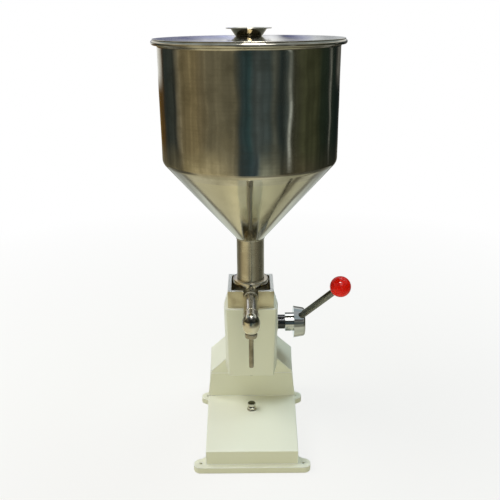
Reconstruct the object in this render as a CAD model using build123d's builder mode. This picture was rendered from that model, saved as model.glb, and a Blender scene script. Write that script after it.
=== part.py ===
from build123d import *
import math
import os

# Piston dispenser for pastes and sauces, with a hopper on top and a hand lever on its right.
# Millimetres. The origin is the centre of the four base bolt holes, on the surface it stands on.
# +Z is up, -Y is the nozzle side and +X is the lever side.

# Clearances
running_gap = 0.05
seat_gap = 0.3
thread_gap = 0.2

# Base casting
bolt_spacing_x = 172.0
bolt_spacing_y = 205.0
bolt_hole_d = 5.2
ear_r = 12.0
ear_blend_r = 13.0
plate_t = 11.0
deck_h = 36.5
cast_wall = 6.0
deck_front_past_bolts = 2.5
deck_front_inset = 9.0
column_front_y = 63.0
column_front_inset = 4.0
column_rear_inset = 3.4
column_h = 86.0
column_draft_front = 6.0
column_draft_rear = 2.1
deck_rib_depth = 9.0
deck_rib_t = 5.0
bolt_relief_r = 5.5
bolt_relief_h = 13.0
edge_round = 1.6

# Head casting
shoulder_foot_h = 4.0
shoulder_h = 31.5
shoulder_ledge_front = 0.5
shoulder_ledge_rear = 0.3
neck_front_half = 47.2
neck_rear_half = 49.6
head_underside_h = 16.0
head_h = 148.0
head_slope_h = 34.0
head_overhang = 36.0
head_bottom_half = 40.0
head_waist_half = 43.0
head_top_half = 44.0
head_side_half = 48.4
head_side_setback = 28.0
head_top_rear_half = 42.0
head_top_length = 92.0
head_floor_t = 5.0
head_edge_round = 2.4

# Pump line
pump_setback = 47.0
bore_r = 24.0
stroke = 28.0
cylinder_wall = 4.0
cylinder_depth = 40.0
flange_lip = 2.0
flange_t = 5.0
gasket_t = 1.0
valve_body_h = 26.0
spigot_r = 27.0
spigot_h = 4.5
guide_seat_r = 15.0
chamber_roof_t = 5.5
inlet_hole_r = 13.0
piston_h = 17.0
ring_h = 3.0
ring_depth = 2.4
ring_pitch = 6.0
piston_nut_af = 17.0
piston_nut_h = 6.0
piston_nut_recess_r = 11.05
rod_r = 7.0
rod_spigot_r = 5.0
rod_length = 71.0

# Block frame round the valve body
frame_side = 81.0
frame_wall = 6.0
frame_inner_r = 3.0
frame_notch_gap = 0.8
frame_screw_r = 2.0
frame_screw_head_r = 3.2
frame_screw_grip = 12.0
frame_screw_setback = 8.0

# Hopper
collar_r = 31.5
collar_lip_t = 2.5
neck_r = 24.15
sheet_t = 1.5
neck_flange_r = 27.0
neck_flange_t = 2.0
hopper_gasket_r = 13.5
neck_h = 80.5
cone_h = 126.0
cone_inset = 12.5
barrel_r = 145.5
barrel_h = 201.8
knuckle_r = 13.0
knuckle_edge_h = 1.0
bead_r = 3.8
bead_offset = 5.7

# Lid and its dished knob
lid_overhang = 1.4
lid_t = 1.5
lid_crown_rise = 2.5
lid_dome_inset = 5.0
lid_lip_gap = 1.0
lid_lip_depth = 9.0
knob_foot_r = 21.0
knob_cup_r = 29.0
knob_flange_r = 36.3
knob_h = 13.0
knob_t = 1.5
lid_screw_r = 2.5
lid_screw_head_r = 5.0
lid_screw_head_h = 2.4
lid_nut_af = 8.0
lid_nut_h = 4.0

# Inlet valve
poppet_overlap = 3.5
poppet_t = 3.0
poppet_stem_r = 2.5
guide_hub_r = 6.2
guide_t = 3.0
guide_ring_r = 12.0
guide_arm_t = 3.0
inlet_spring_length = 15.0
inlet_spring_r = 5.2
inlet_spring_turns = 4
spring_wire_r = 0.7
poppet_nut_r = 6.6
poppet_nut_t = 3.5

# Outlet pipe, elbow and nozzle
pipe_h = 12.0
pipe_r = 12.2
pipe_front_r = 12.9
pipe_socket = 3.5
pipe_socket_r = 10.0
pipe_bore_r = 8.0
elbow_stub = 17.0
nozzle_reach = 125.0
elbow_r = 15.0
elbow_crown_h = 20.0
elbow_crown_past_pipe = 13.0
elbow_taper_h = 14.0
elbow_taper_bulge = 1.2
elbow_foot_r = 10.6
elbow_spigot_r = 8.2
elbow_spigot_h = 6.4
valve_seat_drop = 9.5
valve_seat_r = 4.2
outlet_bore_r = 6.6
ball_r = 5.4
outlet_spring_r = 4.3
outlet_spring_turns = 3
nozzle_nut_r = 10.2
nozzle_nut_h = 8.2
nozzle_nut_grip = 5.0
nozzle_r = 4.0
nozzle_bore_r = 3.0
nozzle_length = 59.1
nozzle_flange_t = 1.6
nozzle_root_r = 5.0
nozzle_root_below_nut = 0.5

# Lever shaft, pinion and rack
shaft_setback = 30.0
shaft_drop = 62.0
shaft_r = 8.0
shaft_right_x = 100.0
gear_module = 1.5
pinion_teeth = 24
pressure_angle = 20.0
tooth_thinning = 0.12
tooth_foot_gap = 0.4
flank_steps = 4
pinion_half_w = 8.0
pinion_hub_half = 14.0
pinion_hub_r = 12.5
key_side = 5.0
key_half_length = 10.0
circlip_t = 1.2
circlip_r = 10.6
circlip_groove_r = 7.2
boss_r = 16.5
boss_inner_x = 30.0
boss_outer_x = 50.5
left_bush_length = 13.0
left_boss_end = 3.1
bush_r = 11.0
bush_flange_r = 13.4
bush_flange_t = 13.5
rack_half_w = 8.0
rack_back = 10.0
rack_past_shaft = 5.0
crosshead_t = 11.0
crosshead_half_w = 14.0
crosshead_lug_half = 8.0
crosshead_reach = 37.0
guide_cheek_t = 4.0
guide_cheek_depth = 8.0
guide_back_t = 9.0
guide_pad_t = 5.95
guide_clearance = 3.0
small_screw_r = 2.5
small_head_r = 4.4
small_head_h = 4.0
small_head_sink = 1.0

# Lever hub, stem and ball knob
hub_boss_r = 17.5
hub_boss_length = 15.7
hub_rim_r = 30.0
hub_rim_length = 21.4
hub_face_r = 26.4
hub_face_round = 5.0
stem_r = 6.3
stem_start = 15.0
knob_centre = 155.0
knob_r = 18.2
knob_flat = 1.6
knob_socket = 20.0
lean_forward = 38.0
lean_outward = 28.5
hub_screw_r = 3.0
hub_screw_sink = 1.0

# Stroke stop under the head, bolt on the deck and screws between the castings
stop_setback = 18.0
stop_screw_r = 4.0
stop_nut_af = 13.0
stop_nut_h = 4.0
stop_head_h = 4.0
deck_bolt_ahead = 45.5
deck_bolt_r = 4.0
deck_bolt_boss_r = 12.0
deck_nut_af = 13.0
deck_nut_h = 6.0
deck_head_h = 5.6
deck_bolt_shank = 22.0
joint_boss_r = 8.5
joint_boss_h = 16.0
joint_boss_head_h = 12.0
joint_screw_r = 4.0
joint_head_r = 6.5
joint_head_h = 8.0
joint_front_inset = 24.0
joint_rear_inset = 25.5
joint_end_inset = 17.0
joint_web = 22.0
joint_hole_end = 2.0

# Worked-out places, from the ground up
bolt_x = bolt_spacing_x / 2
bolt_y = bolt_spacing_y / 2
deck_z = deck_h
deck_front_y = -bolt_y - deck_front_past_bolts
deck_front_half = bolt_x - deck_front_inset
column_foot_front_half = bolt_x - column_front_inset
column_foot_rear_half = bolt_x - column_rear_inset
seam_z = column_h
seam_front_half = column_foot_front_half - column_draft_front
seam_rear_half = column_foot_rear_half - column_draft_rear
bolt_relief_top = plate_t + bolt_relief_h
deck_bolt_y = column_front_y - deck_bolt_ahead
shoulder_foot_z = seam_z + shoulder_foot_h
shoulder_top_z = seam_z + shoulder_h
head_bottom_z = seam_z + head_underside_h
head_floor_z = head_bottom_z + head_floor_t
head_top_z = seam_z + head_h
head_waist_z = head_top_z - head_slope_h
head_front_y = column_front_y - head_overhang
head_side_top_y = head_front_y + head_side_setback
head_top_rear_y = head_front_y + head_top_length
stop_y = head_front_y + stop_setback
pump_y = head_front_y + pump_setback
pump_axis = Axis((0, pump_y, 0), (0, 0, 1))
pump_plane = Plane.XZ.offset(-pump_y)
cylinder_r = bore_r + cylinder_wall
flange_r = cylinder_r + flange_lip
cylinder_bottom_z = head_top_z - cylinder_depth
flange_top_z = head_top_z + flange_t
valve_body_z = flange_top_z + gasket_t
valve_body_top_z = valve_body_z + valve_body_h
chamber_roof_z = valve_body_top_z - chamber_roof_t
spigot_top_z = valve_body_top_z + spigot_h
poppet_r = inlet_hole_r + poppet_overlap
piston_top_z = flange_top_z - stroke
piston_bottom_z = piston_top_z - piston_h
crosshead_top_z = piston_bottom_z - rod_length
crosshead_z = crosshead_top_z - crosshead_t
crosshead_front_y = pump_y - crosshead_reach
frame_screw_x = frame_side / 2 - frame_wall / 2 - seat_gap
frame_screw_y = pump_y - frame_screw_setback
pipe_z = valve_body_z + pipe_h
nozzle_y = pump_y - nozzle_reach
elbow_top_z = pipe_z + elbow_crown_past_pipe
elbow_wide_z = elbow_top_z - elbow_crown_h
elbow_foot_z = elbow_wide_z - elbow_taper_h
elbow_spigot_z = elbow_foot_z - elbow_spigot_h
valve_seat_z = pipe_z - valve_seat_drop
nozzle_nut_top_z = elbow_spigot_z + nozzle_nut_grip
nozzle_nut_bottom_z = nozzle_nut_top_z - nozzle_nut_h
nozzle_tip_z = elbow_spigot_z - nozzle_length
neck_flange_z = spigot_top_z + gasket_t
neck_flange_top_z = neck_flange_z + neck_flange_t
collar_top_z = neck_flange_top_z + collar_lip_t
neck_top_z = neck_flange_z + neck_h
cone_top_z = neck_top_z + cone_h
cone_top_r = barrel_r - cone_inset
bead_centre_z = cone_top_z + barrel_h
bead_centre_r = barrel_r + bead_offset
lid_z = bead_centre_z + bead_r
lid_rim_r = bead_centre_r + lid_overhang
lid_lip_r = barrel_r - sheet_t - lid_lip_gap
lid_dome_r = lid_lip_r - lid_dome_inset
lid_top_z = lid_z + lid_t + lid_crown_rise
shaft_y = pump_y + shaft_setback
shaft_z = head_top_z - shaft_drop
shaft_left_x = -boss_inner_x - left_bush_length
bush_flange_end_x = boss_outer_x + bush_flange_t
hub_start_x = bush_flange_end_x + seat_gap
hub_boss_end_x = hub_start_x + hub_boss_length
hub_face_x = hub_boss_end_x + hub_rim_length
stem_root_x = hub_boss_end_x
pitch_r = gear_module * pinion_teeth / 2
rack_pitch_y = shaft_y + pitch_r
rack_back_y = rack_pitch_y + rack_back + 2 * gear_module
rack_top_z = shaft_z + rack_past_shaft
lever_turn = math.degrees(stroke / pitch_r)
guide_low_z = crosshead_top_z + stroke + guide_clearance
guide_high_z = cylinder_bottom_z
guide_mid_z = (guide_low_z + guide_high_z) / 2
guide_screw_places = [(0, guide_mid_z - guide_back_t), (0, guide_mid_z + guide_back_t)]
guide_rear_y = rack_back_y + running_gap + guide_back_t
inner_front_y = column_front_y + cast_wall
inner_rear_y = guide_rear_y + guide_pad_t
column_rear_y = inner_rear_y + cast_wall
joint_front_x = seam_front_half - joint_front_inset
joint_rear_x = seam_rear_half - joint_rear_inset
joint_places = [
    (joint_front_x, column_front_y + joint_end_inset),
    (-joint_front_x, column_front_y + joint_end_inset),
    (joint_rear_x, column_rear_y - joint_end_inset),
    (-joint_rear_x, column_rear_y - joint_end_inset),
]


def both_sides(right):
    """A closed outline from the points of its right side, front to rear."""
    return right + [(-x, y) for x, y in reversed(right)]


# Base casting: bolt-down plate with four ears, raised deck and the foot of the column
foot_outline = both_sides([
    (deck_front_half, deck_front_y),
    (column_foot_front_half, column_front_y),
    (column_foot_rear_half, column_rear_y),
])
seam_outline = both_sides([(seam_front_half, column_front_y), (seam_rear_half, column_rear_y)])
foot_column = both_sides([
    (column_foot_front_half, column_front_y),
    (column_foot_rear_half, column_rear_y),
])


def inset(outline, wall):
    """The outline of a cavity: each corner moves in by the wall, sideways and lengthways."""
    front = min(y for x, y in outline)
    rear = max(y for x, y in outline)
    moved = []
    for x, y in outline:
        inner_y = y + wall if y == front else y - wall if y == rear else y
        moved.append((x - math.copysign(wall, x), inner_y))
    return moved


# Hollow of the column, less the four bosses that take the casting screws
with BuildPart() as column_hollow:
    with BuildSketch(Plane.XY.offset(deck_z - cast_wall)):
        Polygon(*inset(foot_column, cast_wall), align=None)
    with BuildSketch(Plane.XY.offset(seam_z)):
        Polygon(*inset(seam_outline, cast_wall), align=None)
    loft(ruled=True)
    with BuildSketch(Plane.XY.offset(seam_z - joint_boss_h)):
        with Locations(*joint_places):
            Circle(joint_boss_r)
        for joint_x, joint_y in joint_places:
            with Locations((joint_x + math.copysign(joint_web / 2, joint_x), joint_y)):
                Rectangle(joint_web, 2 * joint_boss_r)
    extrude(amount=joint_boss_h, mode=Mode.SUBTRACT)

with BuildPart() as base_casting:
    with BuildSketch():
        Polygon(*foot_outline, align=None)
        with Locations((0, -bolt_y)):
            SlotCenterToCenter(bolt_spacing_x, 2 * ear_r)
        with Locations((0, bolt_y)):
            SlotCenterToCenter(bolt_spacing_x, 2 * ear_r)
    extrude(amount=plate_t)
    concave = base_casting.edges().filter_by(Axis.Z).filter_by(
        lambda e: abs(e.center().X) > deck_front_half - 1
        and abs(abs(e.center().Y) - bolt_y) < ear_r + 0.5
        and abs(e.center().X) < bolt_x
        and e.center().Y > -bolt_y
    )
    fillet(concave, ear_blend_r)
    with BuildSketch(Plane.XY):
        Polygon(*foot_outline, align=None)
    extrude(amount=deck_z)
    with BuildSketch(Plane.XY.offset(deck_z)):
        Polygon(*foot_column, align=None)
    with BuildSketch(Plane.XY.offset(seam_z)):
        Polygon(*seam_outline, align=None)
    loft(ruled=True)
    # Hollow under the deck and up through the column
    add(column_hollow.part, mode=Mode.SUBTRACT)
    with BuildSketch(Plane.XY):
        Polygon(*both_sides([
            (deck_front_half - cast_wall, deck_front_y + cast_wall),
            (column_foot_front_half - cast_wall, inner_front_y),
            (column_foot_rear_half - cast_wall, inner_rear_y),
        ]), align=None)
    extrude(amount=deck_z - cast_wall, mode=Mode.SUBTRACT)
    # Ribs and the bolt boss under the deck
    rib_span = 2 * (deck_front_half - cast_wall) + 2
    with BuildSketch(Plane.XY.offset(deck_z - cast_wall - deck_rib_depth)):
        for rib_y in (deck_front_y / 2, deck_bolt_y):
            with Locations((0, rib_y)):
                Rectangle(rib_span, deck_rib_t)
        with Locations((0, (deck_front_y + inner_front_y) / 2)):
            Rectangle(deck_rib_t, inner_front_y - deck_front_y - cast_wall)
        with Locations((0, deck_bolt_y)):
            Circle(deck_bolt_boss_r)
    extrude(amount=deck_rib_depth + 1)
    with BuildSketch(Plane.XY.offset(seam_z - joint_boss_h)):
        with Locations(*joint_places):
            Circle(joint_screw_r + running_gap)
    extrude(amount=joint_boss_h, mode=Mode.SUBTRACT)
    # Bolt holes in the ears, with a relief in the wall beside the rear pair
    with GridLocations(bolt_spacing_x, bolt_spacing_y, 2, 2):
        Hole(bolt_hole_d / 2)
    with BuildSketch(Plane.XY.offset(plate_t)):
        with Locations((bolt_x, bolt_y), (-bolt_x, bolt_y)):
            Circle(bolt_relief_r)
    extrude(amount=bolt_relief_top - plate_t, mode=Mode.SUBTRACT)
    with Locations((0, deck_bolt_y, deck_z)):
        Hole(deck_bolt_r + running_gap)
    # Softened casting edges
    deck_edges = base_casting.edges().filter_by(
        lambda e: abs(e.center().Z - deck_z) < 0.01 and e.center().Y < column_front_y - 1
        and e.length > 4 * deck_bolt_r * math.pi
    )
    fillet(deck_edges, edge_round)
base_casting.part.label = "base_casting"

# Head casting: sloped shoulders, and the head that overhangs the deck
shoulder_top_outline = both_sides([
    (neck_front_half, column_front_y),
    (neck_rear_half, column_rear_y),
])
head_low_outline = both_sides([
    (head_bottom_half, head_front_y),
    (neck_front_half, column_front_y),
    (neck_rear_half, column_rear_y),
])
head_waist_outline = both_sides([
    (head_waist_half, head_front_y),
    (head_side_half, column_front_y),
    (neck_rear_half, column_rear_y),
])
head_top_outline = both_sides([
    (head_top_half, head_front_y),
    (head_side_half, head_side_top_y),
    (head_top_rear_half, head_top_rear_y),
])

# Hollow under the shoulders, less the same four bosses
with BuildPart() as shoulder_hollow:
    with BuildSketch(Plane.XY.offset(seam_z)):
        Polygon(*inset(seam_outline, cast_wall), align=None)
    with BuildSketch(Plane.XY.offset(shoulder_top_z - cast_wall)):
        Polygon(*inset(shoulder_top_outline, cast_wall), align=None)
    loft(ruled=True)
    with BuildSketch(Plane.XY.offset(seam_z)):
        with Locations(*joint_places):
            Circle(joint_boss_r)
        for joint_x, joint_y in joint_places:
            with Locations((joint_x + math.copysign(joint_web / 2, joint_x), joint_y)):
                Rectangle(joint_web, 2 * joint_boss_r)
    extrude(amount=joint_boss_head_h, mode=Mode.SUBTRACT)

with BuildPart() as head_casting:
    with BuildSketch(Plane.XY.offset(seam_z)):
        Polygon(*seam_outline, align=None)
    with BuildSketch(Plane.XY.offset(shoulder_foot_z)):
        Polygon(*both_sides([
            (seam_front_half - shoulder_ledge_front, column_front_y),
            (seam_rear_half - shoulder_ledge_rear, column_rear_y),
        ]), align=None)
    with BuildSketch(Plane.XY.offset(shoulder_top_z)):
        Polygon(*shoulder_top_outline, align=None)
    loft(ruled=True)
    with BuildSketch(Plane.XY.offset(head_bottom_z)):
        Polygon(*head_low_outline, align=None)
    with BuildSketch(Plane.XY.offset(head_waist_z)):
        Polygon(*head_waist_outline, align=None)
    with BuildSketch(Plane.XY.offset(head_top_z)):
        Polygon(*head_top_outline, align=None)
    loft(ruled=True)
    front_edges = head_casting.edges().filter_by(
        lambda e: abs(e.center().Y - head_front_y) < 0.01 and e.center().Z > head_bottom_z + 1
        and e.center().Z < head_top_z - 1
    )
    fillet(front_edges, head_edge_round)
    # Cavity for the mechanism
    add(shoulder_hollow.part, mode=Mode.SUBTRACT)
    with BuildSketch(Plane.XY.offset(head_floor_z)):
        Polygon(*inset(head_low_outline, cast_wall), align=None)
    with BuildSketch(Plane.XY.offset(head_waist_z)):
        Polygon(*inset(head_waist_outline, cast_wall), align=None)
    with BuildSketch(Plane.XY.offset(head_top_z - cast_wall)):
        Polygon(*inset(head_top_outline, cast_wall), align=None)
    loft(ruled=True, mode=Mode.SUBTRACT)
    # Bearing bosses through the side walls, flush inside with each other
    with BuildSketch(Plane.YZ.offset(boss_inner_x)):
        with Locations((shaft_y, shaft_z)):
            Circle(boss_r)
    extrude(amount=boss_outer_x - boss_inner_x)
    with BuildSketch(Plane.YZ.offset(-boss_inner_x)):
        with Locations((shaft_y, shaft_z)):
            Circle(boss_r)
    extrude(amount=shaft_left_x - left_boss_end + boss_inner_x)
    with BuildSketch(Plane.YZ.offset(boss_inner_x - 1)):
        with Locations((shaft_y, shaft_z)):
            Circle(bush_r + running_gap)
    extrude(amount=boss_outer_x - boss_inner_x + 2, mode=Mode.SUBTRACT)
    with BuildSketch(Plane.YZ.offset(-boss_inner_x + 1)):
        with Locations((shaft_y, shaft_z)):
            Circle(bush_r + running_gap)
    extrude(amount=-(-boss_inner_x + 1 - shaft_left_x + seat_gap), mode=Mode.SUBTRACT)
    # Pad on the rear wall for the rack guide
    with BuildSketch(Plane.XZ.offset(-guide_rear_y)):
        with Locations((0, guide_mid_z)):
            Rectangle(2 * (rack_half_w + guide_cheek_t), guide_high_z - guide_low_z)
    extrude(amount=-(inner_rear_y - guide_rear_y + 1))
    with BuildSketch(Plane.XZ.offset(-guide_rear_y)):
        with Locations(*guide_screw_places):
            Circle(small_screw_r + running_gap)
    extrude(amount=-(inner_rear_y - guide_rear_y + seat_gap), mode=Mode.SUBTRACT)
    # Holes for the casting screws
    with BuildSketch(Plane.XY.offset(seam_z)):
        with Locations(*joint_places):
            Circle(joint_screw_r + running_gap)
    extrude(amount=joint_boss_head_h - joint_hole_end, mode=Mode.SUBTRACT)
    # Holes for the block frame's screws, the pump cylinder and the stroke stop
    with BuildSketch(Plane.XY.offset(head_top_z)):
        with Locations((frame_screw_x, frame_screw_y), (-frame_screw_x, frame_screw_y)):
            Circle(frame_screw_r + running_gap)
    extrude(amount=-2 * cast_wall, mode=Mode.SUBTRACT)
    with BuildSketch(Plane((0, pump_y, head_top_z))):
        Circle(cylinder_r + running_gap)
    extrude(amount=-2 * cast_wall, mode=Mode.SUBTRACT)
    with BuildSketch(Plane((0, stop_y, head_bottom_z))):
        Circle(stop_screw_r + running_gap)
    extrude(amount=head_floor_t, mode=Mode.SUBTRACT)
head_casting.part.label = "head_casting"

# Screws that pull the head casting down on the base casting
with BuildPart() as casting_screws:
    with BuildSketch(Plane.XY.offset(seam_z - joint_boss_h - joint_head_h)):
        with Locations(*joint_places):
            Circle(joint_head_r)
            RegularPolygon(joint_head_r / 2, 6, mode=Mode.SUBTRACT)
    extrude(amount=joint_head_h / 2)
    with BuildSketch(Plane.XY.offset(seam_z - joint_boss_h - joint_head_h / 2)):
        with Locations(*joint_places):
            Circle(joint_head_r)
    extrude(amount=joint_head_h / 2)
    with BuildSketch(Plane.XY.offset(seam_z - joint_boss_h)):
        with Locations(*joint_places):
            Circle(joint_screw_r)
    extrude(amount=joint_boss_h + joint_boss_head_h - joint_hole_end - seat_gap)
casting_screws.part.label = "casting_screws"

# Hex bolt and its lock nut on the deck
deck_nut_top_z = deck_z + deck_nut_h
with BuildPart() as deck_nut:
    with BuildSketch(Plane((0, deck_bolt_y, deck_z))):
        RegularPolygon(deck_nut_af / 2, 6, major_radius=False)
        Circle(deck_bolt_r + running_gap, mode=Mode.SUBTRACT)
    extrude(amount=deck_nut_h)
deck_nut.part.label = "deck_nut"

with BuildPart() as deck_bolt:
    with BuildSketch(Plane((0, deck_bolt_y, deck_nut_top_z))):
        RegularPolygon(deck_nut_af / 2, 6, major_radius=False)
    extrude(amount=deck_head_h)
    chamfer(deck_bolt.faces().sort_by(Axis.Z)[-1].edges(), deck_head_h / 6)
    with BuildSketch(Plane((0, deck_bolt_y, deck_nut_top_z))):
        Circle(deck_bolt_r)
    extrude(amount=-deck_bolt_shank)
deck_bolt.part.label = "deck_bolt"

# Square frame on the head, open above, with a notch for the outlet pipe
frame_front_y = pump_y - frame_side / 2
with BuildPart() as block_frame:
    with BuildSketch(Plane((0, pump_y, head_top_z))):
        Rectangle(frame_side, frame_side)
        with BuildSketch(mode=Mode.SUBTRACT) as frame_opening:
            Rectangle(frame_side - 2 * frame_wall, frame_side - 2 * frame_wall)
            fillet(frame_opening.vertices(), frame_inner_r)
    extrude(amount=valve_body_top_z - head_top_z)
    with BuildSketch(Plane.XZ.offset(-frame_front_y)):
        with Locations((0, pipe_z)):
            Circle(pipe_r + frame_notch_gap)
        with Locations((0, valve_body_top_z)):
            Rectangle(2 * (pipe_r + frame_notch_gap), 2 * (valve_body_top_z - pipe_z))
    extrude(amount=-frame_wall, mode=Mode.SUBTRACT)
    with BuildSketch(Plane.XY.offset(head_top_z)):
        with Locations((frame_screw_x, frame_screw_y), (-frame_screw_x, frame_screw_y)):
            Circle(frame_screw_r + running_gap)
    extrude(amount=frame_screw_grip, mode=Mode.SUBTRACT)
block_frame.part.label = "block_frame"

with BuildPart() as frame_screws:
    with BuildSketch(Plane.XY.offset(head_top_z - cast_wall)):
        with Locations((frame_screw_x, frame_screw_y), (-frame_screw_x, frame_screw_y)):
            Circle(frame_screw_head_r)
    extrude(amount=-frame_screw_head_r)
    with BuildSketch(Plane.XY.offset(head_top_z - cast_wall)):
        with Locations((frame_screw_x, frame_screw_y), (-frame_screw_x, frame_screw_y)):
            Circle(frame_screw_r)
    extrude(amount=cast_wall + frame_screw_grip - frame_screw_r)
frame_screws.part.label = "frame_screws"

# Pump cylinder, hung by its flange from the top of the head
with BuildPart() as pump_cylinder:
    with BuildSketch(pump_plane):
        Polygon(
            (bore_r, cylinder_bottom_z),
            (cylinder_r, cylinder_bottom_z),
            (cylinder_r, head_top_z),
            (flange_r, head_top_z),
            (flange_r, flange_top_z),
            (bore_r, flange_top_z),
            align=None,
        )
    revolve(axis=pump_axis)
    lead_edges = pump_cylinder.edges().filter_by(GeomType.CIRCLE).group_by(Axis.Z)[0]
    chamfer(lead_edges.sort_by(SortBy.RADIUS)[0], cylinder_wall / 3)
pump_cylinder.part.label = "pump_cylinder"

with BuildPart() as cylinder_gasket:
    with BuildSketch(Plane((0, pump_y, flange_top_z))):
        Circle(flange_r)
        Circle(bore_r + gasket_t, mode=Mode.SUBTRACT)
    extrude(amount=gasket_t)
cylinder_gasket.part.label = "cylinder_gasket"

# Valve body: the pump chamber's roof with the inlet seat, and the outlet port
socket_y = pump_y - flange_r + pipe_socket
with BuildPart() as valve_body:
    with BuildSketch(pump_plane):
        Polygon(
            (bore_r, valve_body_z),
            (flange_r, valve_body_z),
            (flange_r, valve_body_top_z),
            (spigot_r, valve_body_top_z),
            (spigot_r, spigot_top_z),
            (guide_seat_r, spigot_top_z),
            (guide_seat_r, spigot_top_z - guide_t),
            (inlet_hole_r, spigot_top_z - guide_t),
            (inlet_hole_r, chamber_roof_z),
            (bore_r, chamber_roof_z),
            align=None,
        )
    revolve(axis=pump_axis)
    with BuildSketch(Plane.XZ.offset(-socket_y)):
        with Locations((0, pipe_z)):
            Circle(pipe_socket_r + running_gap)
    extrude(amount=2 * pipe_socket, mode=Mode.SUBTRACT)
    with BuildSketch(Plane.XZ.offset(-socket_y)):
        with Locations((0, pipe_z)):
            Circle(pipe_bore_r)
    extrude(amount=-(flange_r - bore_r), mode=Mode.SUBTRACT)
valve_body.part.label = "valve_body"

# Inlet valve: a spider guide, and a poppet that the spring above it holds shut
with BuildPart() as inlet_guide:
    with BuildSketch(Plane((0, pump_y, spigot_top_z - guide_t))):
        Circle(guide_seat_r - running_gap)
        Circle(guide_ring_r, mode=Mode.SUBTRACT)
        with PolarLocations(guide_ring_r / 2, 3, start_angle=90):
            Rectangle(guide_ring_r + 1, guide_arm_t)
        Circle(guide_hub_r)
        Circle(poppet_stem_r + running_gap, mode=Mode.SUBTRACT)
    extrude(amount=guide_t)
inlet_guide.part.label = "inlet_guide"

stem_top_z = spigot_top_z + inlet_spring_length + poppet_nut_t
with BuildPart() as inlet_poppet:
    with BuildSketch(pump_plane):
        Polygon(
            (0, chamber_roof_z - poppet_t),
            (poppet_r - poppet_t / 2, chamber_roof_z - poppet_t),
            (poppet_r, chamber_roof_z - poppet_t / 2),
            (poppet_r, chamber_roof_z),
            (2 * poppet_stem_r, chamber_roof_z),
            (poppet_stem_r, chamber_roof_z + poppet_stem_r),
            (poppet_stem_r, stem_top_z),
            (0, stem_top_z),
            align=None,
        )
    revolve(axis=pump_axis)
inlet_poppet.part.label = "inlet_poppet"

with BuildPart() as poppet_nut:
    with BuildSketch(Plane((0, pump_y, stem_top_z - poppet_nut_t))):
        RegularPolygon(poppet_nut_r, 6)
        Circle(poppet_stem_r + running_gap, mode=Mode.SUBTRACT)
    extrude(amount=poppet_nut_t)
poppet_nut.part.label = "poppet_nut"

inlet_coil_z = spigot_top_z + spring_wire_r
with BuildPart() as inlet_spring:
    with BuildLine() as inlet_coil:
        Helix(
            pitch=(inlet_spring_length - 2 * spring_wire_r) / inlet_spring_turns,
            height=inlet_spring_length - 2 * spring_wire_r,
            radius=inlet_spring_r,
            center=(0, pump_y, inlet_coil_z),
        )
    with BuildSketch(Plane(origin=inlet_coil.line @ 0, z_dir=inlet_coil.line % 0)):
        RegularPolygon(spring_wire_r, 6)
    sweep()
inlet_spring.part.label = "inlet_spring"

# Piston with two rings, on the rod that the rack lifts
with BuildPart() as piston:
    with BuildSketch(pump_plane):
        Polygon(
            (rod_spigot_r + running_gap, piston_bottom_z),
            (bore_r - running_gap, piston_bottom_z),
            (bore_r - running_gap, piston_top_z),
            (piston_nut_recess_r, piston_top_z),
            (piston_nut_recess_r, piston_top_z - piston_nut_h - small_head_sink),
            (rod_spigot_r + running_gap, piston_top_z - piston_nut_h - small_head_sink),
            align=None,
        )
    revolve(axis=pump_axis)
    with BuildSketch(pump_plane):
        for ring_index in (1, 2):
            with Locations((bore_r, piston_top_z + ring_h - ring_index * ring_pitch)):
                Rectangle(2 * ring_depth, ring_h)
    revolve(axis=pump_axis, mode=Mode.SUBTRACT)
piston.part.label = "piston"

with BuildPart() as piston_rings:
    with BuildSketch(pump_plane):
        for ring_index in (1, 2):
            with Locations((bore_r - ring_depth / 2, piston_top_z + ring_h - ring_index * ring_pitch)):
                Rectangle(ring_depth - 2 * running_gap, ring_h)
    revolve(axis=pump_axis)
piston_rings.part.label = "piston_rings"

with BuildPart() as piston_rod:
    with BuildSketch(pump_plane):
        Polygon(
            (0, crosshead_z),
            (rod_spigot_r, crosshead_z),
            (rod_spigot_r, crosshead_top_z),
            (rod_r, crosshead_top_z),
            (rod_r, piston_bottom_z),
            (rod_spigot_r, piston_bottom_z),
            (rod_spigot_r, piston_top_z),
            (0, piston_top_z),
            align=None,
        )
    revolve(axis=pump_axis)
piston_rod.part.label = "piston_rod"

with BuildPart() as piston_nut:
    with BuildSketch(Plane((0, pump_y, piston_top_z - piston_nut_h - small_head_sink))):
        RegularPolygon(piston_nut_af / 2, 6, major_radius=False)
        Circle(rod_spigot_r + running_gap, mode=Mode.SUBTRACT)
    extrude(amount=piston_nut_h)
piston_nut.part.label = "piston_nut"

# Crosshead: the bar that joins the rod to the rack behind the lever shaft
rack_screw_y = rack_back_y - rack_back / 2
rack_screw_x = small_head_r + running_gap
with BuildPart() as crosshead:
    with BuildSketch(Plane.XY.offset(crosshead_z)):
        Polygon(*both_sides([
            (crosshead_lug_half, crosshead_front_y),
            (crosshead_lug_half, pump_y - crosshead_half_w - 2),
            (crosshead_half_w, pump_y - crosshead_lug_half),
            (crosshead_half_w, rack_back_y),
        ]), align=None)
    extrude(amount=crosshead_t)
    lug_corners = crosshead.edges().filter_by(Axis.Z).group_by(Axis.Y)[0]
    fillet(lug_corners, crosshead_lug_half / 2)
    with BuildSketch(Plane.XY.offset(crosshead_z)):
        with Locations((0, pump_y)):
            Circle(rod_spigot_r + running_gap)
        with Locations((rack_screw_x, rack_screw_y), (-rack_screw_x, rack_screw_y)):
            Circle(small_screw_r + running_gap)
    extrude(amount=crosshead_t, mode=Mode.SUBTRACT)
crosshead.part.label = "crosshead"

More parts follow.
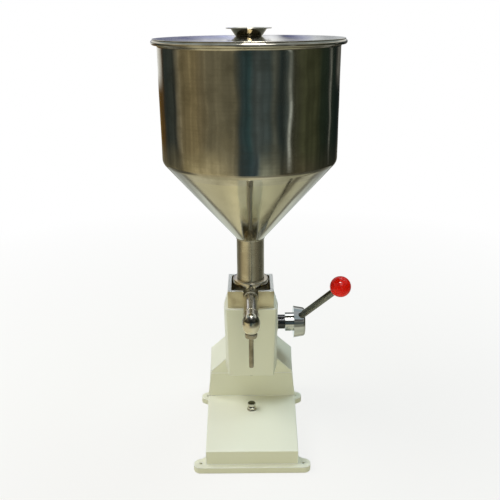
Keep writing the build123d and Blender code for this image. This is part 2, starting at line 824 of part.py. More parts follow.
# Rack with straight-sided teeth, in mesh with the pinion at rest
tooth_pitch = math.pi * gear_module
tooth_tan = math.tan(math.radians(pressure_angle))
rack_tip_y = rack_pitch_y - gear_module
rack_root_y = rack_pitch_y + gear_module + tooth_foot_gap
tip_half = tooth_pitch / 4 - tooth_thinning / 2 - gear_module * tooth_tan
root_half = tooth_pitch / 4 - tooth_thinning / 2 + (gear_module + tooth_foot_gap) * tooth_tan
rack_tooth_count = int((rack_top_z - crosshead_top_z) / tooth_pitch) - 1
first_tooth_z = shaft_z + tooth_pitch / 2 - (rack_tooth_count - 1) * tooth_pitch
rack_points = [(rack_back_y, crosshead_top_z), (rack_root_y, crosshead_top_z)]
for tooth in range(rack_tooth_count):
    tooth_z = first_tooth_z + tooth * tooth_pitch
    rack_points += [
        (rack_root_y, tooth_z - root_half),
        (rack_tip_y, tooth_z - tip_half),
        (rack_tip_y, tooth_z + tip_half),
        (rack_root_y, tooth_z + root_half),
    ]
rack_points += [(rack_root_y, rack_top_z), (rack_back_y, rack_top_z)]

with BuildPart() as rack:
    with BuildSketch(Plane.YZ.offset(-rack_half_w)):
        Polygon(*rack_points, align=None)
    extrude(amount=2 * rack_half_w)
    with BuildSketch(Plane.XY.offset(crosshead_top_z)):
        with Locations((rack_screw_x, rack_screw_y), (-rack_screw_x, rack_screw_y)):
            Circle(small_screw_r + running_gap)
    extrude(amount=crosshead_t, mode=Mode.SUBTRACT)
rack.part.label = "rack"

with BuildPart() as rack_screws:
    with BuildSketch(Plane.XY.offset(crosshead_z - small_head_h)):
        with Locations((rack_screw_x, rack_screw_y), (-rack_screw_x, rack_screw_y)):
            Circle(small_head_r)
    extrude(amount=small_head_h)
    with BuildSketch(Plane.XY.offset(crosshead_z)):
        with Locations((rack_screw_x, rack_screw_y), (-rack_screw_x, rack_screw_y)):
            Circle(small_screw_r)
    extrude(amount=2 * crosshead_t - small_screw_r)
rack_screws.part.label = "rack_screws"

# Rack guide: a channel that takes the thrust of the teeth
guide_front_y = rack_back_y - guide_cheek_depth
with BuildPart() as rack_guide:
    with BuildSketch(Plane.XY.offset(guide_low_z)):
        with Locations((0, (guide_front_y + guide_rear_y) / 2)):
            Rectangle(2 * (rack_half_w + guide_cheek_t), guide_rear_y - guide_front_y)
        with Locations((0, (guide_front_y + rack_back_y + running_gap) / 2)):
            Rectangle(
                2 * (rack_half_w + running_gap),
                guide_cheek_depth + running_gap,
                mode=Mode.SUBTRACT,
            )
    extrude(amount=guide_high_z - guide_low_z)
    with BuildSketch(Plane.XZ.offset(-guide_rear_y)):
        with Locations(*guide_screw_places):
            Circle(small_screw_r + running_gap)
    extrude(amount=guide_back_t, mode=Mode.SUBTRACT)
    with BuildSketch(Plane.XZ.offset(-(rack_back_y + running_gap))):
        with Locations(*guide_screw_places):
            Circle(small_head_r + running_gap)
    extrude(amount=-(small_head_h + small_head_sink), mode=Mode.SUBTRACT)
rack_guide.part.label = "rack_guide"

guide_head_y = rack_back_y + running_gap + small_head_sink + small_head_h
with BuildPart() as guide_screws:
    with BuildSketch(Plane.XZ.offset(-guide_head_y)):
        with Locations(*guide_screw_places):
            Circle(small_head_r)
    extrude(amount=small_head_h)
    with BuildSketch(Plane.XZ.offset(-guide_head_y)):
        with Locations(*guide_screw_places):
            Circle(small_screw_r)
    extrude(amount=-(inner_rear_y - guide_head_y))
guide_screws.part.label = "guide_screws"

# Stroke stop: a screw through the floor of the head that the crosshead comes down on
stop_nut_z = head_bottom_z - stop_nut_h
with BuildPart() as stop_nut:
    with BuildSketch(Plane((0, stop_y, stop_nut_z))):
        RegularPolygon(stop_nut_af / 2, 6, major_radius=False)
        Circle(stop_screw_r + running_gap, mode=Mode.SUBTRACT)
    extrude(amount=stop_nut_h)
stop_nut.part.label = "stop_nut"

with BuildPart() as stop_screw:
    with BuildSketch(Plane((0, stop_y, stop_nut_z - stop_head_h))):
        RegularPolygon(stop_nut_af / 2, 6, major_radius=False)
    extrude(amount=stop_head_h)
    with BuildSketch(Plane((0, stop_y, stop_nut_z))):
        Circle(stop_screw_r)
    extrude(amount=crosshead_z - seat_gap - stop_nut_z)
stop_screw.part.label = "stop_screw"

# Hopper collar, gasket and neck
with BuildPart() as hopper_gasket:
    with BuildSketch(Plane((0, pump_y, spigot_top_z))):
        Circle(neck_flange_r)
        Circle(hopper_gasket_r, mode=Mode.SUBTRACT)
    extrude(amount=gasket_t)
hopper_gasket.part.label = "hopper_gasket"

with BuildPart() as hopper_collar:
    with BuildSketch(pump_plane):
        Polygon(
            (spigot_r + thread_gap, valve_body_top_z + seat_gap),
            (collar_r, valve_body_top_z + seat_gap),
            (collar_r, collar_top_z),
            (neck_r + thread_gap, collar_top_z),
            (neck_r + thread_gap, neck_flange_top_z),
            (spigot_r + thread_gap, neck_flange_top_z),
            align=None,
        )
    revolve(axis=pump_axis)
    collar_rim = hopper_collar.edges().filter_by(GeomType.CIRCLE).group_by(Axis.Z)[-1]
    fillet(collar_rim.sort_by(SortBy.RADIUS)[-1], (collar_top_z - neck_flange_top_z) / 2)
hopper_collar.part.label = "hopper_collar"

with BuildPart() as hopper_neck:
    with BuildSketch(pump_plane):
        Polygon(
            (neck_r - sheet_t, neck_flange_z),
            (neck_flange_r, neck_flange_z),
            (neck_flange_r, neck_flange_top_z),
            (neck_r, neck_flange_top_z),
            (neck_r, neck_top_z),
            (neck_r - sheet_t, neck_top_z),
            align=None,
        )
    revolve(axis=pump_axis)
hopper_neck.part.label = "hopper_neck"

# Hopper cone, cut level at both ends where it is welded
cone_rise = cone_top_z - neck_top_z
cone_run = cone_top_r - neck_r
cone_slant = math.hypot(cone_rise, cone_run)
cone_level_t = sheet_t * cone_slant / cone_rise
with BuildPart() as hopper_cone:
    with BuildSketch(pump_plane):
        Polygon(
            (neck_r - cone_level_t, neck_top_z),
            (neck_r, neck_top_z),
            (cone_top_r, cone_top_z),
            (cone_top_r - cone_level_t, cone_top_z),
            align=None,
        )
    revolve(axis=pump_axis)
hopper_cone.part.label = "hopper_cone"

# Hopper knuckle: the rolled ring that turns the cone's slope into the upright barrel
ledge_z = bead_centre_z - bead_r
outer_corner_z = cone_top_z + (barrel_r - cone_top_r) * cone_rise / cone_run
inner_corner_r = barrel_r - sheet_t
inner_corner_z = cone_top_z + (inner_corner_r - cone_top_r + cone_level_t) * cone_rise / cone_run
knuckle_turn = math.atan2(cone_run, cone_rise)
knuckle_top_z = outer_corner_z + knuckle_r * math.tan(knuckle_turn / 2) + knuckle_edge_h
with BuildPart() as hopper_knuckle:
    with BuildSketch(pump_plane):
        with BuildLine():
            knuckle_outer = FilletPolyline(
                (cone_top_r, cone_top_z),
                (barrel_r, outer_corner_z),
                (barrel_r, knuckle_top_z),
                radius=knuckle_r,
            )
            knuckle_inner = FilletPolyline(
                (cone_top_r - cone_level_t, cone_top_z),
                (inner_corner_r, inner_corner_z),
                (inner_corner_r, knuckle_top_z),
                radius=knuckle_r - sheet_t,
            )
            Line(knuckle_outer @ 0, knuckle_inner @ 0)
            Line(knuckle_outer @ 1, knuckle_inner @ 1)
        make_face()
    revolve(axis=pump_axis)
hopper_knuckle.part.label = "hopper_knuckle"

# Hopper barrel: an upright wall, flared at the top to a rolled bead
with BuildPart() as hopper_barrel:
    with BuildSketch(pump_plane):
        with BuildLine():
            outer = FilletPolyline(
                (barrel_r, knuckle_top_z),
                (barrel_r, ledge_z),
                (bead_centre_r, ledge_z),
                radius=bead_r,
            )
            inner = FilletPolyline(
                (inner_corner_r, knuckle_top_z),
                (inner_corner_r, ledge_z + sheet_t),
                (bead_centre_r, ledge_z + sheet_t),
                radius=bead_r + sheet_t,
            )
            Line(outer @ 0, inner @ 0)
            Line(outer @ 1, inner @ 1)
        make_face()
        with Locations((bead_centre_r, bead_centre_z)):
            Circle(bead_r)
    revolve(axis=pump_axis)
hopper_barrel.part.label = "hopper_barrel"

# Lid: a low dome with a flat rim on the bead and a locating lip inside the barrel
with BuildPart() as lid:
    with BuildSketch(pump_plane):
        with BuildLine():
            dome_under = ThreePointArc(
                (lid_dome_r, lid_z),
                (lid_dome_r / 2, lid_z + lid_crown_rise * 0.75),
                (0, lid_z + lid_crown_rise),
            )
            dome_over = ThreePointArc(
                (lid_dome_r, lid_z + lid_t),
                (lid_dome_r / 2, lid_z + lid_t + lid_crown_rise * 0.75),
                (0, lid_top_z),
            )
            Polyline(
                dome_under @ 0,
                (lid_rim_r, lid_z),
                (lid_rim_r, lid_z + lid_t),
                dome_over @ 0,
            )
            Line(dome_under @ 1, dome_over @ 1)
        make_face()
        with Locations((lid_lip_r - lid_t / 2, lid_z - lid_lip_depth / 2)):
            Rectangle(lid_t, lid_lip_depth)
    revolve(axis=pump_axis)
    with BuildSketch(Plane((0, pump_y, lid_z))):
        Circle(lid_screw_r + running_gap)
    extrude(amount=lid_t + 2 * lid_crown_rise, mode=Mode.SUBTRACT)
lid.part.label = "lid"

# Dished knob: a small cup with a turned-out flange that the fingers hold
knob_top_z = lid_top_z + knob_h
with BuildPart() as lid_knob:
    with BuildSketch(pump_plane):
        with BuildLine():
            cup_outer = FilletPolyline(
                (lid_screw_r + running_gap, lid_top_z),
                (knob_foot_r, lid_top_z),
                (knob_cup_r, knob_top_z - knob_t),
                (knob_flange_r, knob_top_z - knob_t),
                radius=[2 * knob_t, knob_t],
            )
            cup_inner = FilletPolyline(
                (lid_screw_r + running_gap, lid_top_z + knob_t),
                (knob_foot_r - knob_t, lid_top_z + knob_t),
                (knob_cup_r - knob_t, knob_top_z),
                (knob_flange_r, knob_top_z),
                radius=[knob_t, 2 * knob_t],
            )
            Line(cup_outer @ 0, cup_inner @ 0)
            Line(cup_outer @ 1, cup_inner @ 1)
        make_face()
    revolve(axis=pump_axis)
lid_knob.part.label = "lid_knob"

lid_nut_z = lid_z + lid_crown_rise - running_gap - lid_nut_h
with BuildPart() as lid_screw:
    with BuildSketch(Plane((0, pump_y, lid_top_z + knob_t))):
        Circle(lid_screw_head_r)
    extrude(amount=lid_screw_head_h)
    fillet(lid_screw.faces().sort_by(Axis.Z)[-1].edges(), lid_screw_head_h / 2)
    with BuildSketch(Plane((0, pump_y, lid_nut_z))):
        Circle(lid_screw_r)
    extrude(amount=lid_top_z + knob_t - lid_nut_z)
lid_screw.part.label = "lid_screw"

with BuildPart() as lid_nut:
    with BuildSketch(Plane((0, pump_y, lid_nut_z))):
        RegularPolygon(lid_nut_af / 2, 6, major_radius=False)
        Circle(lid_screw_r + running_gap, mode=Mode.SUBTRACT)
    extrude(amount=lid_nut_h)
lid_nut.part.label = "lid_nut"

# Outlet pipe: it widens slightly towards the elbow, and its rear end fits round the valve body
elbow_joint_y = nozzle_y + elbow_stub
with BuildPart() as outlet_pipe:
    with BuildSketch(Plane.XZ.offset(-socket_y)):
        with Locations((0, pipe_z)):
            Circle(pipe_r)
    extrude(amount=socket_y - frame_front_y)
    with BuildSketch(Plane.XZ.offset(-frame_front_y)):
        with Locations((0, pipe_z)):
            Circle(pipe_r)
    with BuildSketch(Plane.XZ.offset(-elbow_joint_y)):
        with Locations((0, pipe_z)):
            Circle(pipe_front_r)
    loft()
    with BuildSketch(Plane((0, pump_y, head_top_z))):
        Circle(flange_r + running_gap)
    extrude(amount=2 * pipe_z, mode=Mode.SUBTRACT)
    with BuildSketch(Plane.XZ.offset(-socket_y)):
        with Locations((0, pipe_z)):
            Circle(pipe_socket_r)
    extrude(amount=2 * pipe_socket)
    with BuildSketch(Plane.XZ.offset(-socket_y)):
        with Locations((0, pipe_z)):
            Circle(pipe_bore_r)
    extrude(amount=socket_y - elbow_joint_y, mode=Mode.SUBTRACT)
outlet_pipe.part.label = "outlet_pipe"

# Elbow: a bulbous body that turns the flow down and holds the outlet ball valve
elbow_plane = Plane.XZ.offset(-nozzle_y)
elbow_axis = Axis((0, nozzle_y, 0), (0, 0, 1))
with BuildPart() as outlet_elbow:
    with BuildSketch(elbow_plane):
        with BuildLine():
            crown = EllipticalCenterArc(
                (0, elbow_wide_z), elbow_r, elbow_crown_h, start_angle=0, arc_size=90
            )
            taper = ThreePointArc(
                (elbow_r, elbow_wide_z),
                ((elbow_r + elbow_foot_r) / 2 + elbow_taper_bulge, elbow_wide_z - elbow_taper_h / 2),
                (elbow_foot_r, elbow_foot_z),
            )
            Polyline(
                taper @ 1,
                (elbow_spigot_r, elbow_foot_z),
                (elbow_spigot_r, elbow_spigot_z),
                (0, elbow_spigot_z),
                (0, elbow_top_z),
            )
        make_face()
    revolve(axis=elbow_axis)
    with BuildSketch(elbow_plane):
        with Locations((0, pipe_z)):
            Circle(pipe_front_r)
    extrude(amount=-elbow_stub)
    with Locations((0, nozzle_y, pipe_z)):
        Sphere(pipe_front_r)
        Sphere(pipe_bore_r, mode=Mode.SUBTRACT)
    with BuildSketch(elbow_plane):
        with Locations((0, pipe_z)):
            Circle(pipe_bore_r)
    extrude(amount=-elbow_stub, mode=Mode.SUBTRACT)
    with BuildSketch(Plane((0, nozzle_y, elbow_spigot_z))):
        Circle(outlet_bore_r)
    extrude(amount=valve_seat_z - elbow_spigot_z, mode=Mode.SUBTRACT)
    with BuildSketch(Plane((0, nozzle_y, valve_seat_z))):
        Circle(valve_seat_r)
    extrude(amount=pipe_z - valve_seat_z, mode=Mode.SUBTRACT)
outlet_elbow.part.label = "outlet_elbow"

ball_z = valve_seat_z - math.sqrt(ball_r**2 - valve_seat_r**2) - seat_gap
with BuildPart() as outlet_ball:
    with Locations((0, nozzle_y, ball_z)):
        Sphere(ball_r)
outlet_ball.part.label = "outlet_ball"

coil_clear = ball_r + spring_wire_r + running_gap
outlet_coil_top_z = ball_z - math.sqrt(coil_clear**2 - outlet_spring_r**2)
outlet_coil_z = elbow_spigot_z + spring_wire_r
with BuildPart() as outlet_spring:
    with BuildLine() as outlet_coil:
        Helix(
            pitch=(outlet_coil_top_z - outlet_coil_z) / outlet_spring_turns,
            height=outlet_coil_top_z - outlet_coil_z,
            radius=outlet_spring_r,
            center=(0, nozzle_y, outlet_coil_z),
        )
    with BuildSketch(Plane(origin=outlet_coil.line @ 0, z_dir=outlet_coil.line % 0)):
        RegularPolygon(spring_wire_r, 6)
    sweep()
outlet_spring.part.label = "outlet_spring"

# Nozzle tube and the nut that clamps its flange under the elbow
nozzle_flange_z = elbow_spigot_z - nozzle_flange_t
nozzle_root_z = nozzle_nut_bottom_z - nozzle_root_below_nut
with BuildPart() as nozzle_tube:
    with BuildSketch(elbow_plane):
        Polygon(
            (nozzle_bore_r, nozzle_tip_z),
            (nozzle_r, nozzle_tip_z),
            (nozzle_r, nozzle_root_z - (nozzle_root_r - nozzle_r)),
            (nozzle_root_r, nozzle_root_z),
            (nozzle_root_r, nozzle_flange_z),
            (elbow_spigot_r - running_gap, nozzle_flange_z),
            (elbow_spigot_r - running_gap, elbow_spigot_z),
            (nozzle_bore_r, elbow_spigot_z),
            align=None,
        )
    revolve(axis=elbow_axis)
nozzle_tube.part.label = "nozzle_tube"

with BuildPart() as nozzle_nut:
    with BuildSketch(elbow_plane):
        Polygon(
            (nozzle_root_r + 2 * running_gap, nozzle_nut_bottom_z),
            (nozzle_nut_r, nozzle_nut_bottom_z),
            (nozzle_nut_r, nozzle_nut_top_z),
            (elbow_spigot_r + 2 * running_gap, nozzle_nut_top_z),
            (elbow_spigot_r + 2 * running_gap, nozzle_flange_z),
            (nozzle_root_r + 2 * running_gap, nozzle_flange_z),
            align=None,
        )
    revolve(axis=elbow_axis)
nozzle_nut.part.label = "nozzle_nut"

# Bushes of the lever shaft
with BuildPart() as right_bush:
    with BuildSketch(Plane.YZ.offset(boss_inner_x)):
        with Locations((shaft_y, shaft_z)):
            Circle(bush_r)
            Circle(shaft_r + running_gap, mode=Mode.SUBTRACT)
    extrude(amount=boss_outer_x - boss_inner_x)
    with BuildSketch(Plane.YZ.offset(boss_outer_x)):
        with Locations((shaft_y, shaft_z)):
            Circle(bush_flange_r)
            Circle(shaft_r + running_gap, mode=Mode.SUBTRACT)
    extrude(amount=bush_flange_end_x - boss_outer_x)
right_bush.part.label = "right_bush"

with BuildPart() as left_bush:
    with BuildSketch(Plane.YZ.offset(-boss_inner_x)):
        with Locations((shaft_y, shaft_z)):
            Circle(bush_r)
            Circle(shaft_r + running_gap, mode=Mode.SUBTRACT)
    extrude(amount=-left_bush_length)
left_bush.part.label = "left_bush"

# Lever shaft with a keyway and two circlip grooves
shaft_axis = Axis((0, shaft_y, shaft_z), (1, 0, 0))
groove_centre_x = pinion_hub_half + circlip_t / 2
with BuildPart() as lever_shaft:
    with BuildSketch(Plane.YZ.offset(shaft_left_x)):
        with Locations((shaft_y, shaft_z)):
            Circle(shaft_r)
    extrude(amount=shaft_right_x - shaft_left_x)
    for groove_x in (-groove_centre_x, groove_centre_x):
        with BuildSketch(Plane.YZ.offset(groove_x - circlip_t / 2)):
            with Locations((shaft_y, shaft_z)):
                Circle(shaft_r + 1)
                Circle(circlip_groove_r, mode=Mode.SUBTRACT)
        extrude(amount=circlip_t, mode=Mode.SUBTRACT)
    with BuildSketch(Plane.XY.offset(shaft_z + shaft_r - key_side / 2)):
        with Locations((0, shaft_y)):
            Rectangle(2 * key_half_length, key_side)
    extrude(amount=key_side, mode=Mode.SUBTRACT)
lever_shaft.part.label = "lever_shaft"

with BuildPart() as pinion_key:
    with BuildSketch(Plane.XY.offset(shaft_z + shaft_r - key_side / 2)):
        with Locations((0, shaft_y)):
            Rectangle(2 * key_half_length, key_side)
    extrude(amount=key_side)
pinion_key.part.label = "pinion_key"

# Pinion with involute teeth, one of them pointing at the rack
tip_r = pitch_r + gear_module
root_r = pitch_r - gear_module - tooth_foot_gap
base_r = pitch_r * math.cos(math.radians(pressure_angle))


def involute(radius):
    """The involute angle at a radius: the tangent of its pressure angle, less the angle."""
    turn = math.acos(base_r / radius)
    return math.tan(turn) - turn


half_at_pitch = (tooth_pitch / 2 - tooth_thinning) / (2 * pitch_r)
flank = []
for step in range(flank_steps + 1):
    flank_r = base_r + (tip_r - base_r) * step / flank_steps
    flank.append((flank_r, half_at_pitch + involute(pitch_r) - involute(flank_r)))
flank.insert(0, (root_r, flank[0][1]))
pinion_points = []
for tooth in range(pinion_teeth):
    middle = tooth * 2 * math.pi / pinion_teeth
    for radius, half in flank:
        pinion_points.append((radius * math.cos(middle - half), radius * math.sin(middle - half)))
    for radius, half in reversed(flank):
        pinion_points.append((radius * math.cos(middle + half), radius * math.sin(middle + half)))

with BuildPart() as pinion:
    with BuildSketch(Plane.YZ.offset(-pinion_half_w)):
        with Locations((shaft_y, shaft_z)):
            Polygon(*pinion_points, align=None)
    extrude(amount=2 * pinion_half_w)
    with BuildSketch(Plane.YZ.offset(-pinion_hub_half)):
        with Locations((shaft_y, shaft_z)):
            Circle(pinion_hub_r)
    extrude(amount=2 * pinion_hub_half)
    with BuildSketch(Plane.YZ.offset(-pinion_hub_half)):
        with Locations((shaft_y, shaft_z)):
            Circle(shaft_r + running_gap)
        with Locations((shaft_y, shaft_z + shaft_r)):
            Rectangle(key_side + 2 * running_gap, key_side + 2 * running_gap)
    extrude(amount=2 * pinion_hub_half, mode=Mode.SUBTRACT)
pinion.part.label = "pinion"

with BuildPart() as pinion_circlips:
    for groove_x in (-groove_centre_x, groove_centre_x):
        with BuildSketch(Plane.YZ.offset(groove_x - circlip_t / 2)):
            with Locations((shaft_y, shaft_z)):
                Circle(circlip_r)
                Circle(circlip_groove_r + running_gap, mode=Mode.SUBTRACT)
            with Locations((shaft_y, shaft_z - circlip_r)):
                Rectangle(shaft_r, circlip_r, mode=Mode.SUBTRACT)
        extrude(amount=circlip_t)
pinion_circlips.part.label = "pinion_circlips"

# Lever hub, bored for the shaft and drilled at a slant for the stem
forward = math.radians(lean_forward)
outward = math.radians(lean_outward)
stem_direction = (
    math.sin(outward),
    -math.cos(outward) * math.sin(forward),
    math.cos(outward) * math.cos(forward),
)
stem_plane = Plane(origin=(stem_root_x, shaft_y, shaft_z), z_dir=stem_direction)
hub_screw_x = (hub_start_x + hub_boss_end_x) / 2
with BuildPart() as lever_hub:
    with BuildSketch(Plane.XZ.offset(-shaft_y)):
        Polygon(
            (hub_start_x, shaft_z + shaft_r + running_gap),
            (hub_start_x, shaft_z + hub_boss_r),
            (hub_boss_end_x, shaft_z + hub_boss_r),
            (hub_boss_end_x, shaft_z + hub_rim_r),
            (hub_face_x, shaft_z + hub_face_r),
            (hub_face_x, shaft_z + shaft_r + running_gap),
            align=None,
        )
    revolve(axis=shaft_axis)
    face_rim = lever_hub.edges().filter_by(GeomType.CIRCLE).group_by(Axis.X)[-1]
    fillet(face_rim.sort_by(SortBy.RADIUS)[-1], hub_face_round)
    with BuildSketch(stem_plane.offset(stem_start)):
        Circle(stem_r + running_gap)
    extrude(amount=2 * hub_rim_r, mode=Mode.SUBTRACT)
    with BuildSketch(Plane.XZ.offset(-shaft_y)):
        with Locations((hub_screw_x, shaft_z)):
            Circle(hub_screw_r + running_gap)
    extrude(amount=-2 * hub_boss_r, mode=Mode.SUBTRACT)
lever_hub.part.label = "lever_hub"

with BuildPart() as hub_screw:
    with BuildSketch(Plane.XZ.offset(-(shaft_y + shaft_r + running_gap))):
        with Locations((hub_screw_x, shaft_z)):
            Circle(hub_screw_r)
    extrude(amount=-(hub_boss_r - shaft_r - hub_screw_sink))
hub_screw.part.label = "hub_screw"

knob_face = knob_centre - knob_r + knob_flat
with BuildPart() as lever_stem:
    with BuildSketch(stem_plane.offset(stem_start + running_gap)):
        Circle(stem_r)
    extrude(amount=knob_face + knob_socket - stem_start - 2 * running_gap)
lever_stem.part.label = "lever_stem"

with BuildPart() as lever_knob:
    with Locations(stem_plane.offset(knob_centre)):
        Sphere(knob_r)
    with BuildSketch(stem_plane.offset(knob_face)):
        Circle(knob_r)
    extrude(amount=-2 * knob_flat, mode=Mode.SUBTRACT)
    with BuildSketch(stem_plane.offset(knob_face)):
        Circle(stem_r + running_gap)
    extrude(amount=knob_socket, mode=Mode.SUBTRACT)
lever_knob.part.label = "lever_knob"

pieces = [
    base_casting, head_casting, casting_screws, deck_bolt, deck_nut, block_frame, frame_screws,
    pump_cylinder, cylinder_gasket, valve_body, inlet_guide, inlet_poppet, poppet_nut,
    inlet_spring, piston, piston_rings, piston_rod, piston_nut, crosshead, rack, rack_screws,
    rack_guide, guide_screws, stop_screw, stop_nut, hopper_gasket, hopper_collar, hopper_neck,
    hopper_cone, hopper_knuckle, hopper_barrel, lid, lid_knob, lid_screw, lid_nut, outlet_pipe,
    outlet_elbow, outlet_ball, outlet_spring, nozzle_tube, nozzle_nut, right_bush, left_bush, lever_shaft,
    pinion_key, pinion, pinion_circlips, lever_hub, hub_screw, lever_stem, lever_knob,
]
os.makedirs("parts", exist_ok=True)
for piece in pieces:
    export_step(piece.part, f"parts/{piece.part.label}.step")
print("lever turn in degrees", round(lever_turn, 3), "outlet coil top", round(outlet_coil_top_z, 3))
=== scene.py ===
import logging
import math
from collections.abc import Callable
from dataclasses import dataclass
from enum import Enum

import bmesh
import bpy
import numpy as np
from mathutils import Matrix, Vector


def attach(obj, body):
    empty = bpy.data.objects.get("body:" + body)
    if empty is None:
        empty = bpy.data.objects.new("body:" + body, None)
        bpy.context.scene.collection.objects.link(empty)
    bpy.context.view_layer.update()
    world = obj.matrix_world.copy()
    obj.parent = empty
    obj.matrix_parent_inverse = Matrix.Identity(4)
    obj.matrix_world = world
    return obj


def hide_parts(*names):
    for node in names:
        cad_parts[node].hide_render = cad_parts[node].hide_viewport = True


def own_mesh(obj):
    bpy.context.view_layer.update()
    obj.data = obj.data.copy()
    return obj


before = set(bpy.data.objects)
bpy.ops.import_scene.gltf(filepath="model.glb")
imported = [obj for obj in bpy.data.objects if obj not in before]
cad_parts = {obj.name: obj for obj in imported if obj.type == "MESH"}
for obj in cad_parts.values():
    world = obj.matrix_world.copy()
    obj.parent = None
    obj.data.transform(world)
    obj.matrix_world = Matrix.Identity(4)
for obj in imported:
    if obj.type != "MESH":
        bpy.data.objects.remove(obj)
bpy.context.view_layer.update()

# Finished look of the piston dispenser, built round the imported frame.
# +Z is up, -Y is the nozzle side and +X is the lever side.
# Profiles and sizes are in millimetres, and places in the scene in metres.
MM = 0.001
FULL_TURN = 2 * math.pi
SHARP_DEG = 35.0
SMOOTH_DEG = 180.0
WELD_COLUMNS = 720
BEAD_SIDES = 10
WELD_DROP = 1.6
HEX_COLUMNS = 96
BORE_GAP = 0.05
MERGE_DISTANCE = 2e-6
SEAM_END_POWER = 60
log = logging.getLogger("dispenser")

Point = tuple[float, float, float]
Colour = tuple[float, float, float]
Pair = tuple[float, float]
Span = tuple[float, float, float]
Stops = list[tuple[float, float, float, float]]
Array = np.ndarray
Number = float | Array
Piece = bpy.types.Object
Socket = bpy.types.NodeSocket
Material = bpy.types.Material


class Body(Enum):
    """The bodies that the pieces of this script ride on."""

    STAND = "stand"
    LEVER = "lever_group"
    LID = "lid_group"


class Grain(Enum):
    """How the fine polishing marks of a metal lie: the scales of their pattern."""

    ROUND = (9.0, 300.0, 1.0)
    SLOPE = (240.0, 5.0, 1.0)
    ALONG_X = (25.0, 2600.0, 2600.0)
    ALONG_Y = (2600.0, 25.0, 2600.0)
    ALONG_Z = (2600.0, 2600.0, 25.0)
    CLOUDY = (420.0, 420.0, 420.0)


@dataclass(frozen=True)
class Spindle:
    """A line that a profile is turned round. Metres."""

    origin: Point
    axis: Point = (0.0, 0.0, 1.0)

    def basis(self) -> tuple[Array, Array, Array]:
        """Two unit vectors square to the axis, and the axis itself."""
        along = np.array(self.axis) / np.linalg.norm(self.axis)
        if abs(along[2]) > 0.999:
            across = np.array([1.0, 0.0, 0.0])
        else:
            across = np.cross(along, [0.0, 0.0, 1.0])
            across /= np.linalg.norm(across)
        return across, np.cross(along, across), along


HOPPER_Y = 0.074
HOPPER_AXIS = Spindle((0.0, HOPPER_Y, 0.0))
NOZZLE_AXIS = Spindle((0.0, -0.051, 0.0))
PIPE_AXIS = Spindle((0.0, 0.0, 0.252), (0.0, 1.0, 0.0))
STEM_FORWARD, STEM_OUT = math.radians(38.0), math.radians(28.5)
STEM_AXIS = Spindle((0.080, 0.104, 0.172), (
    math.sin(STEM_OUT),
    -math.cos(STEM_OUT) * math.sin(STEM_FORWARD),
    math.cos(STEM_OUT) * math.cos(STEM_FORWARD),
))


def turns(count: int) -> Array:
    """Even turns from zero to a full turn, in radians, without the last."""
    return np.arange(count) * FULL_TURN / count


def rounded(corners: list[Point], closed: bool = True, steps: int = 6) -> Array:
    """Makes a profile of straight runs joined by tangent arcs.

    An arc of radius R at a corner with inside angle 2a touches its runs R / tan(a) from the corner,
    and its centre lies R / sin(a) away on the bisector.

    Args:
        corners: radius from the axis, height and corner radius of each corner.
        closed: whether the last corner runs back to the first.
        steps: number of chords in each arc.

    Returns:
        The profile's points as rows of radius and height.
    """
    data = np.array(corners, float)
    found = []
    for i, (*place, round_r) in enumerate(data):
        corner = np.array(place)
        if round_r == 0.0 or (not closed and i in (0, len(data) - 1)):
            found.append(corner[None])
            continue
        before, after = (data[k, :2] - corner for k in (i - 1, (i + 1) % len(data)))
        before /= np.linalg.norm(before)
        after /= np.linalg.norm(after)
        half = math.acos(np.clip(before @ after, -1.0, 1.0)) / 2
        bisector = (before + after) / np.linalg.norm(before + after)
        centre = corner + bisector * round_r / math.sin(half)
        first, last = (corner + way * round_r / math.tan(half) - centre for way in (before, after))
        sweep = math.pi - 2 * half
        share = np.linspace(0.0, 1.0, steps + 1)[:, None]
        found.append(centre + (np.sin((1 - share) * sweep) * first + np.sin(share * sweep) * last) / math.sin(sweep))
    return np.concatenate(found)


def arc(centre: Pair, radius: float, first_deg: float, last_deg: float, steps: int) -> Array:
    """Points of a circular arc in a profile: centre plus radius times (cos a, sin a)."""
    turn = np.radians(np.linspace(first_deg, last_deg, steps + 1))
    return np.array(centre) + radius * np.stack([np.cos(turn), np.sin(turn)], axis=1)


def refined(profile: Array, step: float) -> Array:
    """Adds points to an open profile, evenly by its length, so that no run is longer than a step.

    Args:
        profile: rows of radius and height.
        step: longest run.

    Returns:
        The profile with every old point kept and new ones between them.
    """
    length = np.concatenate([[0.0], np.cumsum(np.linalg.norm(np.diff(profile, axis=0), axis=1))])
    even = np.linspace(0.0, length[-1], int(length[-1] / step) + 2)
    gap = np.abs(even[:, None] - length[None]).min(axis=1)
    places = np.sort(np.concatenate([length, even[gap > step / 3]]))
    return np.stack([np.interp(places, length, column) for column in profile.T], axis=1)


def linked(name: str, data: bpy.types.ID) -> Piece:
    """Puts a mesh, lamp or camera into the scene at the origin."""
    made = bpy.data.objects.new(name, data)
    bpy.context.scene.collection.objects.link(made)
    return made


def smoothed(name: str, mesh: bpy.types.Mesh, sharp_deg: float) -> Piece:
    """Links a mesh that is smooth but for the edges that are sharper than some degrees."""
    mesh.shade_smooth()
    mesh.set_sharp_from_angle(angle=math.radians(sharp_deg))
    return linked(name, mesh)


